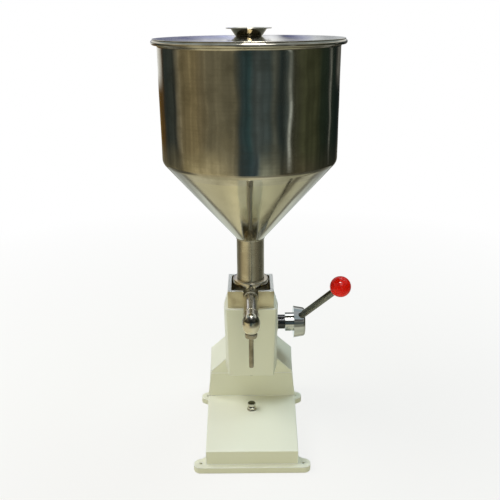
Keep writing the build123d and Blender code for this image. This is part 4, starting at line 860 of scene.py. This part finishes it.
@dataclass
class Lid:
    """The lid with its locating lip, dished knob, screw and nut."""

    foot: float = 683.6
    sheet: float = 1.5
    crown: float = 2.5
    rim_r: float = 152.6
    flat_r: float = 145.0
    dome_r: float = 138.0
    lip_r: float = 143.0
    lip_depth: float = 9.0
    hole_r: float = 2.6
    knob_h: float = 13.0
    knob_r: float = 36.3
    cup_r: float = 29.0
    cup_foot_r: float = 21.0
    nut_af: float = 8.0
    socket_half: float = 1.8
    nut_h: float = 4.0
    screw_r: float = 2.5
    screw_end: float = 4.05

    def crown_at(self, radius: Array) -> Array:
        """Height of the dome at a radius: crown (1 - (r / dome radius) squared), and zero outside it."""
        return self.crown * np.clip(1.0 - (radius / self.dome_r) ** 2, 0.0, None)

    def disc(self) -> Piece:
        """Turns the lid: dome, flat rim with a rolled edge, and the lip as part of one profile."""
        half, soft, foot = self.sheet / 2, 0.3, self.foot
        edge_r, lip_in, lip_low = self.rim_r - half, self.lip_r - self.sheet, foot - self.lip_depth
        out = np.concatenate([np.linspace(self.hole_r, self.dome_r, 26), [self.flat_r, edge_r]])
        over = np.stack([out, foot + self.sheet + self.crown_at(out)], axis=1)
        edge = arc((edge_r, foot + half), half, 80.0, -80.0, 8)
        lip = [(edge_r, foot), (self.lip_r + 0.4, foot), (self.lip_r, foot - 0.4), (self.lip_r, lip_low + soft),
               (self.lip_r - soft, lip_low), (lip_in + soft, lip_low), (lip_in, lip_low + soft), (lip_in, foot)]
        back = np.linspace(self.dome_r, self.hole_r, 22)
        under = np.stack([back, foot + self.crown_at(back)], axis=1)
        return turned("lid_sheet", np.concatenate([over, edge, lip, under]), HOPPER_AXIS, 256)

    def dish(self) -> Piece:
        """Turns the dished knob: a cup of sheet with a turned-out flange."""
        t, low = self.sheet, self.foot + self.sheet + self.crown
        top, rim = low + self.knob_h, self.knob_r - t / 2
        outer = rounded([(self.hole_r, low, 0.0), (self.cup_foot_r, low, 3.0), (self.cup_r, top - t, 1.5),
                         (self.knob_r, top - t, 0.0)], False, 8)
        outer[-1, 0] = rim
        inner = rounded([(rim, top, 0.0), (self.cup_r - t, top, 3.0), (self.cup_foot_r - t, low + t, 1.5),
                         (self.hole_r, low + t, 0.0)], False, 8)
        edge = arc((rim, top - t / 2), t / 2, -80.0, 80.0, 8)
        return turned("lid_dish", np.concatenate([outer, edge, inner]), HOPPER_AXIS, 160)

    def screw(self) -> Piece:
        """Makes the dome-headed screw with a hexagon socket, from its tip to the bottom of the socket."""
        columns, r = 72, self.screw_r
        seat, tip = self.foot + 2 * self.sheet + self.crown, self.foot + self.crown - self.screw_end
        socket = hexagon(self.socket_half, columns)
        head = [(r, 0.0), (4.9, 0.0), (5.0, 0.2), (5.0, 1.2), (4.8, 1.75), (4.3, 2.15), (3.6, 2.4), (2.35, 2.4),
                (socket, 2.25), (socket, 0.7), (0.0, 0.5)]
        rows = [(0.0, tip), (r - 0.3, tip), (r, tip + 0.3)] + [(radius, seat + rise) for radius, rise in head]
        return ring_surface("lid_dome_screw", rows, HOPPER_AXIS, columns, closed=False)

    def build(self, shop: Workshop) -> None:
        """Makes and dresses every piece of the lid."""
        shop.place(self.disc(), POLISHED_ROUND, Body.LID, "lid")
        shop.place(self.dish(), POLISHED_ROUND, Body.LID, "lid_knob")
        shop.place(self.screw(), FASTENER, Body.LID, "lid_screw")
        under = self.foot + self.crown - self.screw_end
        nut = hex_piece("lid_hex_nut", self.nut_af, under, under + self.nut_h, HOPPER_AXIS,
                        bore_r=self.screw_r + BORE_GAP)
        shop.place(nut, FASTENER, Body.LID, "lid_nut")


@dataclass
class Outlet:
    """Outlet pipe, elbow, knurled nut and nozzle tube at the front."""

    joint_y: float = -34.0
    frame_front: float = 33.4
    pipe_root_r: float = 12.2
    pipe_front_r: float = 12.9
    nut_r: float = 10.2
    nut_low: float = 221.4
    nut_high: float = 229.6
    nut_bore: float = 8.3
    nut_hole: float = 5.1
    tube_r: float = 4.0
    bore_r: float = 3.0
    root_r: float = 5.0
    tip: float = 165.5
    flange_foot: float = 223.0
    spigot_foot: float = 224.6
    knurls: int = 40
    knurl_depth: float = 0.38

    def nut(self) -> Piece:
        """Makes the nut with straight knurling: radius falls by depth (1 - |sin(knurls t / 2)|) between plain lands."""
        columns = self.knurls * 12
        low, high, r = self.nut_low, self.nut_high, self.nut_r
        cut = r - self.knurl_depth * (1.0 - np.abs(np.sin(self.knurls * turns(columns) / 2)))
        rows = [
            (self.nut_hole, low), (r - 1.1, low), (r - 0.6, low + 0.15), (r - 0.45, low + 0.6), (r - 0.45, low + 1.0),
            (cut, low + 1.35), (cut, high - 1.9), (r - 0.45, high - 1.5), (r - 0.45, high - 0.5), (r - 0.8, high),
            (self.nut_bore, high), (self.nut_bore, self.flange_foot), (self.nut_hole, self.flange_foot),
        ]
        return ring_surface("knurled_nut", rows, NOZZLE_AXIS, columns)

    def tube(self) -> Piece:
        """Turns the nozzle tube with its brazed root, flange and a soft rim at the tip."""
        root, flange_r = self.nut_low - 0.5, self.nut_bore - 0.15
        return turned("nozzle_tube_bright", rounded([
            (self.bore_r, self.tip, 0.2), (self.tube_r, self.tip, 0.3), (self.tube_r, root - 1.0, 0.8),
            (self.root_r, root, 0.3), (self.root_r, self.flange_foot, 0.0), (flange_r, self.flange_foot, 0.0),
            (flange_r, self.spigot_foot, 0.0), (self.bore_r, self.spigot_foot, 0.0),
        ], steps=4), NOZZLE_AXIS, 72)

    def build(self, shop: Workshop) -> None:
        """Makes and dresses every piece of the outlet."""
        stand = Body.STAND
        shop.place(dressed_copy("outlet_pipe"), SATIN_PIPE, stand)
        shop.place(dressed_copy("outlet_elbow", 28.0), ELBOW_STEEL, stand)
        shop.place(self.nut(), NUT_STEEL, stand, "nozzle_nut")
        shop.place(self.tube(), WORN_TUBE, stand, "nozzle_tube")
        joint = weld_bead("weld_pipe_to_elbow", self.pipe_front_r - 0.1, self.joint_y, 0.75, PIPE_AXIS, 60)
        shop.place(joint, WELD, stand)
        root = weld_bead("weld_pipe_to_frame", self.pipe_root_r + 0.3, self.frame_front, 1.2, PIPE_AXIS, 44)
        shop.place(root, WELD, stand)


@dataclass
class Stand:
    """Castings, block frame, pump parts in view and their fasteners."""

    deck: float = 36.5
    bolt_y: float = 17.5
    bolt_r: float = 4.0
    bolt_length: float = 22.0
    nut_af: float = 13.0
    nut_h: float = 6.0
    head_gap: float = 2.6
    head_h: float = 5.6
    washer_r: float = 8.6
    washer_t: float = 1.4
    stop_y: float = 45.0
    stop_top: float = 102.0
    stop_nut_h: float = 4.0
    stop_end: float = 111.7

    def bolt(self, shop: Workshop, names: tuple[str, str], y: float, nut: Span, head: Span, shank: Array,
             finishes: tuple[Metal, Metal], washer_r: float = 0.0) -> None:
        """Makes a hexagon bolt and its lock nut.

        Args:
            shop: where they are dressed.
            names: the word for their place and the word for the bolt, as in the names of their nodes.
            y: place of their axis.
            nut: the nut's lower and upper faces and its turn in degrees.
            head: the same of the bolt's head.
            shank: profile of the bolt's shank.
            finishes: metal of the nut and head, and metal of the shank.
            washer_r: radius of the washer that the nut stands in, or zero for none.
        """
        (place, kind), (steel, thread) = names, finishes
        spindle = Spindle((0.0, y * MM, 0.0))
        made = hex_piece(f"{place}_lock_nut", self.nut_af, *nut[:2], spindle, nut[2], self.bolt_r + BORE_GAP)
        shop.place(made, steel, Body.STAND, f"{place}_nut")
        if washer_r:
            hole, low, top = self.bolt_r + 0.3, nut[0], nut[0] + self.washer_t
            ring = rounded([(hole, low, 0.0), (washer_r, low, 0.0), (washer_r, top, 0.4), (hole, top, 0.2)])
            shop.place(turned(f"{place}_washer", ring, spindle, 72), steel, Body.STAND)
        shop.place(hex_piece(f"{place}_{kind}_head", self.nut_af, *head[:2], spindle, head[2]), steel, Body.STAND)
        made = turned(f"{place}_{kind}_shank", shank, spindle, 48, closed=False)
        shop.place(made, thread, Body.STAND, f"{place}_{kind}")

    def build(self, shop: Workshop) -> None:
        """Makes and dresses every fixed piece below the hopper."""
        for node, sharp_deg, bevel, finish in (
            ("base_casting", 24.0, 0.0, CREAM), ("head_casting", 24.0, 0.0, CREAM), ("block_frame", 40.0, 0.5, BRUSHED),
            ("valve_body", 30.0, 0.0, VALVE_STEEL), ("right_bush", 30.0, 0.0, BLACK), ("left_bush", 30.0, 0.0, BLACK),
        ):
            shop.place(dressed_copy(node, sharp_deg, bevel), finish, Body.STAND)
        r, top, low = self.bolt_r, self.deck + self.nut_h, self.stop_top - self.stop_nut_h
        under, foot = top + self.head_gap, top - self.bolt_length
        shank = rounded([(0.0, foot, 0.0), (r, foot, 0.6), (r, under + 0.5, 0.0), (0.0, under + 0.5, 0.0)], False)
        # The shank's near-black colour is painted shade in the gap under the head.
        self.bolt(shop, ("deck", "bolt"), self.bolt_y, (self.deck, top, -8.0), (under, under + self.head_h, 5.0),
                  shank, (DECK_STEEL, GAP_SHADE_SHANK), self.washer_r)
        end = self.stop_end
        shank = rounded([(0.0, low - 0.5, 0.0), (r, low - 0.5, 0.0), (r, end, 0.6), (0.0, end, 0.0)], False)
        self.bolt(shop, ("stop", "screw"), self.stop_y, (low, self.stop_top, 4.0), (low - self.stop_nut_h, low, 20.0),
                  shank, (FASTENER, FASTENER))


@dataclass
class ValveSprings:
    """The springs of the two check valves, with the travel of each valve. Metres."""

    inlet_travel: float = 0.004
    outlet_travel: float = 0.003

    def build(self, shop: Workshop) -> None:
        """Makes both springs, each from its own copy of its mesh."""
        for side, travel in (("inlet", self.inlet_travel), ("outlet", self.outlet_travel)):
            coil = shop.place(dressed_copy(f"{side}_spring", 50.0), MACHINED, Body.STAND)
            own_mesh(coil)


@dataclass
class Lever:
    """Hub, stem and ball of the hand lever, along the stem from its root."""

    stem_r: float = 6.3
    stem_start: float = 15.05
    ball_at: float = 155.0
    ball_r: float = 18.2
    ball_flat: float = 1.6
    socket: float = 20.0

    def flat_at(self) -> float:
        """Place of the ball's flat."""
        return self.ball_at - self.ball_r + self.ball_flat

    def stem(self) -> Piece:
        """Turns the stem, with a small chamfer at its hub end."""
        start, end = self.stem_start, self.flat_at() + self.socket - 0.1
        profile = rounded([(0.0, start, 0.0), (self.stem_r, start, 0.5), (self.stem_r, end, 0.5), (0.0, end, 0.0)],
                          closed=False, steps=3)
        return turned("lever_rod", refined(profile, 12.0), STEM_AXIS, 96, closed=False)

    def ball(self) -> Piece:
        """Turns the ball: a circle from the edge of its flat to the far pole, closed by the flat and the bore."""
        flat, bore = self.flat_at(), self.stem_r + BORE_GAP
        rim_deg = math.degrees(math.asin((flat - self.ball_at) / self.ball_r))
        outside = arc((0.0, self.ball_at), self.ball_r, rim_deg + 1.0, 90.0, 48)
        outside[-1, 0] = 0.0
        inside = [(0.0, flat + self.socket), (bore, flat + self.socket), (bore, flat + 0.5), (bore + 0.5, flat),
                  (outside[0, 0] - 0.4, flat)]
        return turned("ball_knob", np.concatenate([inside, outside]), STEM_AXIS, 128, closed=False)

    def build(self, shop: Workshop) -> None:
        """Makes and dresses every piece of the lever."""
        shop.place(dressed_copy("lever_hub", 28.0), CHROME, Body.LEVER)
        shop.place(self.stem(), STEM_PLATE, Body.LEVER, "lever_stem")
        ball = shop.place(self.ball(), RED, Body.LEVER, "lever_knob")
        ball.visible_glossy = False  # The satin steel of a real cone is too dull to show the ball.


# Tones that polished metal reflects: degrees round the hopper, with 0 in front and 90 on the lever side,
# and the colour there.
FLOOR_FAR: Stops = [
    (-178, 0.8, 0.88, 0.9), (-130, 0.3, 0.3, 0.26), (-110, 0.06, 0.055, 0.04), (-85, 0.12, 0.1, 0.07),
    (-70, 0.8, 0.72, 0.48), (-22, 0.88, 0.8, 0.55), (-10, 0.36, 0.36, 0.29), (22, 0.3, 0.3, 0.25),
    (34, 0.3, 0.28, 0.21), (46, 0.22, 0.2, 0.15), (60, 0.14, 0.13, 0.1), (100, 0.05, 0.05, 0.04),
    (125, 0.25, 0.25, 0.22), (178, 0.8, 0.88, 0.9),
]
FLOOR_NEAR: Stops = [
    (-180, 0.92, 1, 0.98), (-137, 0.92, 1, 0.98), (-135, 0.2, 0.19, 0.16), (-129, 0.2, 0.19, 0.16),
    (-127, 0.84, 0.81, 0.6), (-60, 0.9, 0.86, 0.6), (-5, 0.94, 0.9, 0.64), (20, 0.98, 0.98, 0.78),
    (60, 0.68, 0.7, 0.53), (101, 0.7, 0.7, 0.52), (103, 0.14, 0.12, 0.08), (110, 0.14, 0.12, 0.08),
    (112, 0.72, 0.72, 0.55), (128, 0.7, 0.71, 0.56), (130, 0.2, 0.19, 0.16), (136, 0.2, 0.19, 0.16),
    (138, 0.9, 0.98, 0.97), (180, 0.92, 1, 0.98),
]
SCREEN_MIDDLE: Stops = [
    (-180, 0.2, 0.2, 0.18), (-163, 0.3, 0.24, 0.14), (-150, 0.14, 0.08, 0.02), (-132, 0.11, 0.065, 0.025),
    (-124, 0.05, 0.064, 0.06), (-99, 0.06, 0.07, 0.065), (-92, 0.42, 0.38, 0.27), (-86, 0.26, 0.22, 0.13),
    (-66, 0.36, 0.3, 0.17), (-58, 0.28, 0.24, 0.15), (-51, 0.24, 0.22, 0.15), (-18, 0.19, 0.18, 0.125),
    (-11, 0.06, 0.09, 0.1), (1, 0.045, 0.1, 0.115), (7, 0.11, 0.14, 0.15), (24, 0.085, 0.12, 0.13),
    (29, 0.16, 0.18, 0.16), (35, 0.035, 0.055, 0.06), (45.5, 0.07, 0.09, 0.09), (47, 0.8, 0.88, 0.88),
    (48.8, 0.8, 0.88, 0.88), (50.5, 0.075, 0.08, 0.06), (67, 0.085, 0.095, 0.055), (87, 0.07, 0.08, 0.045),
    (97, 0.026, 0.04, 0.028), (112, 0.018, 0.03, 0.024), (115, 0.3, 0.32, 0.3), (118, 0.018, 0.03, 0.024),
    (143, 0.01, 0.016, 0.016), (158, 0.08, 0.08, 0.07), (180, 0.2, 0.2, 0.18),
]
SCREEN_FOOT: Stops = [
    (-180, 0.3, 0.28, 0.2), (-130, 0.16, 0.15, 0.1), (-96, 0.22, 0.2, 0.13), (-84, 0.55, 0.48, 0.28),
    (-44, 0.92, 0.82, 0.52), (-18, 0.5, 0.46, 0.32), (-12, 0.07, 0.09, 0.1), (8, 0.06, 0.1, 0.13),
    (15, 0.42, 0.46, 0.38), (30, 0.3, 0.31, 0.24), (40, 0.09, 0.09, 0.065), (60, 0.14, 0.13, 0.085),
    (95, 0.06, 0.065, 0.045), (140, 0.03, 0.03, 0.025), (180, 0.3, 0.28, 0.2),
]
SCREEN_ABOVE: Stops = [
    (-180, 0.95, 0.97, 1), (-177, 0.9, 0.92, 1), (-176, 0.45, 0.48, 0.7), (-172, 0.42, 0.45, 0.66),
    (-171, 0.12, 0.13, 0.28), (-166, 0.1, 0.11, 0.2), (-150, 0.4, 0.42, 0.5), (-120, 0.1, 0.1, 0.09),
    (-70, 0.75, 0.7, 0.55), (-38, 0.6, 0.56, 0.42), (-24, 0.07, 0.075, 0.07), (26, 0.06, 0.065, 0.06),
    (38, 0.85, 0.85, 0.78), (56, 0.3, 0.28, 0.2), (80, 0.04, 0.045, 0.045), (150, 0.1, 0.12, 0.16),
    (166, 0.42, 0.44, 0.46), (171, 0.45, 0.47, 0.5), (172, 0.14, 0.16, 0.36), (175, 0.08, 0.09, 0.16),
    (176, 0.88, 0.9, 0.95), (180, 0.95, 0.97, 1),
]
SCREEN_HIGH: Stops = [
    (-180, 1, 1, 0.96), (-110, 0.95, 0.93, 0.86), (-60, 0.8, 0.76, 0.62), (-30, 0.16, 0.16, 0.15),
    (30, 0.1, 0.1, 0.1), (60, 0.45, 0.46, 0.45), (120, 0.8, 0.82, 0.8), (180, 1, 1, 0.96),
]
SCREEN_REAR: Stops = [
    (-180, 0.1, 0.1, 0.1), (-173, 0.14, 0.14, 0.14), (-168, 0.95, 0.97, 0.98), (-140, 0.85, 0.84, 0.78),
    (140, 0.16, 0.16, 0.14), (160, 0.12, 0.12, 0.11), (166, 0.55, 0.56, 0.55), (171, 0.5, 0.5, 0.5),
    (175, 0.12, 0.12, 0.12), (180, 0.1, 0.1, 0.1),
]
WHITE = (1.0, 1.0, 1.0)


@dataclass
class Studio:
    """Floor, surroundings, lamps and camera. Metres."""

    floor_half: float = 6.0
    ring_r: float = 1.25
    ring_top: float = 2.4
    ring_columns: int = 180
    streak_turn: float = 48.0
    sway: float = 0.012
    camera_at: Point = (-0.0008, -1.0, 0.7202)
    pitch_deg: float = 20.06
    roll_deg: float = -0.46
    lens: float = 46.51
    sensor: float = 36.0

    def bands(self, mix: Recipe, share: Socket, stops: Stops) -> Socket:
        """Adds a colour ramp round the hopper's axis.

        Args:
            mix: the material's recipe.
            share: the turn, from 0 behind the machine on the far side of the lever to 1 behind it again.
            stops: turns in degrees and their colours.

        Returns:
            The colour socket.
        """
        ramp = mix.add("ValToRGB", {0: share})
        marks = ramp.color_ramp.elements
        while len(marks) < len(stops):
            marks.new(1.0)
        for mark, (degrees, *colour) in zip(marks, stops):
            mark.position = (degrees + 180.0) / 360.0
            mark.color = (*colour, 1.0)
        return ramp.outputs[0]

    def turn_share(self, mix: Recipe) -> tuple[Socket, Socket, Socket]:
        """Finds where a point lies round the hopper's axis, with a slow sway.

        Args:
            mix: the material's recipe.

        Returns:
            The share of the turn, the distance from the axis and the height.
        """
        point = mix.add("TexCoord").outputs["Object"]
        aside, y, height = mix.add("SeparateXYZ", {0: point}).outputs
        ahead = mix.math("SUBTRACT", HOPPER_Y, y)
        angle = mix.math("ARCTAN2", aside, ahead)
        slow = mix.math("MULTIPLY", mix.math("SUBTRACT", mix.noise(point, 5.0, 2.0), 0.5), 2 * self.sway)
        share = mix.math("ADD", mix.math("ADD", mix.math("DIVIDE", angle, FULL_TURN), 0.5), slow)
        squares = mix.math("ADD", mix.math("MULTIPLY", ahead, ahead), mix.math("MULTIPLY", aside, aside))
        return share, mix.math("SQRT", squares), height

    def stage(self, name: str, points: Array, faces: Array, finish: Material) -> Piece:
        """Puts a mesh with its material into the studio."""
        mesh = bpy.data.meshes.new(name)
        mesh.from_pydata(points.tolist(), [], faces.tolist())
        mesh.materials.append(finish)
        piece = linked(name, mesh)
        return piece

    def floor(self) -> None:
        """Lays a pale floor: near white to the camera with a soft shadow, and banded in polished metal."""
        mix = Recipe("pale_floor")
        rays = mix.add("LightPath").outputs
        share, away, _ = self.turn_share(mix)
        matt = mix.add("BsdfDiffuse", {"Color": (0.66, 0.64, 0.50)})
        bright = mix.add("Emission", {"Color": WHITE, "Strength": 1.0})
        near, far = (self.bands(mix, share, stops) for stops in (FLOOR_NEAR, FLOOR_FAR))
        tone = mix.blend(mix.spread(away, 0.50, 0.72), near, far)
        pale = mix.add("Emission", {"Color": tone, "Strength": mix.spread(away, 0.12, 0.20, 1.3, 0.97)})
        seen = mix.math("MULTIPLY", rays["Is Camera Ray"], mix.spread(away, 0.35, 1.4, 0.80, 1.0))
        first = mix.add("MixShader", {0: seen, 1: matt.outputs[0], 2: bright.outputs[0]})
        finish = mix.finish("MixShader", {0: mix.math("MULTIPLY", rays["Is Glossy Ray"], 0.85),
                                          1: first.outputs[0], 2: pale.outputs[0]})
        corners = np.array([[-1.0, -1.0, 0.0], [1.0, -1.0, 0.0], [1.0, 1.0, 0.0], [-1.0, 1.0, 0.0]])
        self.stage("floor", self.floor_half * corners, np.array([[0, 1, 2, 3]]), finish)

    def surroundings(self) -> None:
        """Stands a ring of soft upright screens round the object, which only polished surfaces see.

        The tone depends on the turn about the hopper's axis and on storeys of height.
        """
        mix = Recipe("soft_screens")
        share, _, height = self.turn_share(mix)
        middle, foot, above, high, rear = (self.bands(mix, share, stops) for stops in (
            SCREEN_MIDDLE, SCREEN_FOOT, SCREEN_ABOVE, SCREEN_HIGH, SCREEN_REAR))
        behind = mix.spread(mix.math("ABSOLUTE", mix.math("SUBTRACT", share, 0.5)), 0.36, 0.39)
        streak = mix.math("ABSOLUTE", mix.math("SUBTRACT", share, self.streak_turn / 360.0 + 0.5))
        faded = mix.math("MULTIPLY", mix.spread(streak, 0.008, 0.010, 0.85, 0.0), mix.spread(height, 0.36, 0.60))
        tone = foot
        for part, other in (
            (mix.spread(height, 0.225, 0.315), middle),
            (faded, (0.10, 0.12, 0.11)),
            (mix.math("MULTIPLY", behind, mix.spread(height, 0.48, 0.54)), rear),
            (mix.spread(height, 0.66, 0.71), above),
            (mix.spread(height, 0.78, 0.86), high),
            (mix.spread(height, 1.10, 1.25), (0.44, 0.52, 0.55)),
        ):
            tone = mix.blend(part, tone, other)
        streaks = mix.add("CombineXYZ", {0: mix.math("MULTIPLY", share, 90.0), 1: height}).outputs[0]
        finish = mix.finish("Emission", {
            "Color": tone,
            "Strength": mix.spread(mix.noise(streaks, 1.0, 4.0), 0.3, 0.7, 0.66, 1.38),
        })
        columns = self.ring_columns
        turn, j = turns(columns), np.arange(columns)
        low = np.stack([self.ring_r * np.cos(turn), HOPPER_Y + self.ring_r * np.sin(turn), np.zeros(columns)], axis=1)
        faces = np.stack([j, (j + 1) % columns, (j + 1) % columns + columns, j + columns], axis=1)
        ring = self.stage("screens", np.concatenate([low, low + [0.0, 0.0, self.ring_top]]), faces, finish)
        for kind in ("camera", "diffuse", "shadow", "transmission", "volume_scatter"):
            setattr(ring, "visible_" + kind, False)

    def sky(self) -> None:
        """Lights everything evenly, with a white background behind it and a pale ceiling in polished metal."""
        world = bpy.data.worlds.new("studio")
        bpy.context.scene.world = world
        mix = Recipe("studio", world)
        rays = mix.add("LightPath").outputs
        matt, shiny, back = (mix.add("Background", {0: colour, 1: strength}).outputs[0] for colour, strength in (
            ((0.96, 1.0, 1.0), 0.17), ((0.90, 0.97, 1.0), 0.62), (WHITE, 1.0)))
        glossy = mix.add("MixShader", {0: rays["Is Glossy Ray"], 1: matt, 2: shiny})
        seen = mix.math("MAXIMUM", rays["Is Camera Ray"], rays["Is Transmission Ray"])
        mix.finish("MixShader", {0: seen, 1: glossy.outputs[0], 2: back})

    def lamp(self, name: str, at: Point, aim: Point, size: float, power: float, colour: Colour,
             shown: bool = False) -> None:
        """Hangs a square soft lamp.

        Args:
            name: the lamp's name.
            at: its place.
            aim: the point that it faces.
            size: its side.
            power: its power in watts.
            colour: its colour.
            shown: whether polished surfaces show it, and then it doesn't light matt ones.
        """
        light = bpy.data.lights.new(name, "AREA")
        light.shape = "SQUARE"
        light.size, light.energy, light.color = size, power, colour
        held = linked(name, light)
        held.location = at
        held.rotation_euler = (Vector(aim) - Vector(at)).to_track_quat("-Z", "Y").to_euler()
        held.visible_glossy = shown
        held.visible_diffuse = not shown

    def camera(self) -> None:
        """Sets the camera where the photograph was taken from."""
        eye = bpy.data.cameras.new("camera")
        eye.lens = self.lens
        eye.sensor_width = self.sensor
        held = linked("camera", eye)
        turn = (Matrix.Rotation(math.radians(90.0 - self.pitch_deg), 4, "X")
                @ Matrix.Rotation(math.radians(self.roll_deg), 4, "Z"))
        held.matrix_world = Matrix.Translation(self.camera_at) @ turn
        bpy.context.scene.camera = held

    def build(self) -> None:
        """Sets up the whole studio."""
        self.floor()
        self.surroundings()
        self.sky()
        middle, ceiling = (0.0, 0.05, 0.1), (0.1, 0.1, 0.2)
        self.lamp("overhead", (-1.15, 0.15, 1.8), middle, 1.4, 34.0, (0.91, 0.93, 1.0))
        self.lamp("sparkle", (0.08, -0.46, 1.69), (0.154, 0.020, 0.279), 0.34, 13.0, WHITE, True)
        self.lamp("side_fill", (0.85, 0.75, 1.8), middle, 1.0, 18.0, (0.70, 0.86, 1.0))
        self.lamp("front_fill", (0.15, -1.7, 0.75), (0.0, 0.05, 0.2), 0.8, 8.0, (1.0, 0.98, 0.80))
        self.lamp("ceiling_front", (0.20, -0.88, 1.45), ceiling, 0.7, 4.2, WHITE, True)
        self.lamp("ceiling_back", (0.20, 0.94, 1.88), ceiling, 0.7, 4.2, WHITE, True)
        self.camera()
        bpy.context.scene.view_settings.view_transform = "Standard"
        log.info("studio ready")


def main() -> None:
    """Builds every sub-assembly in order, then the studio."""
    logging.basicConfig(level=logging.INFO, format="%(name)s: %(message)s")
    shop = Workshop()
    shop.dress_nodes()
    for assembly in (Stand(), Hopper(), Lid(), Outlet(), ValveSprings(), Lever()):
        assembly.build(shop)
    Studio().build()


if __name__ == "__main__":
    main()
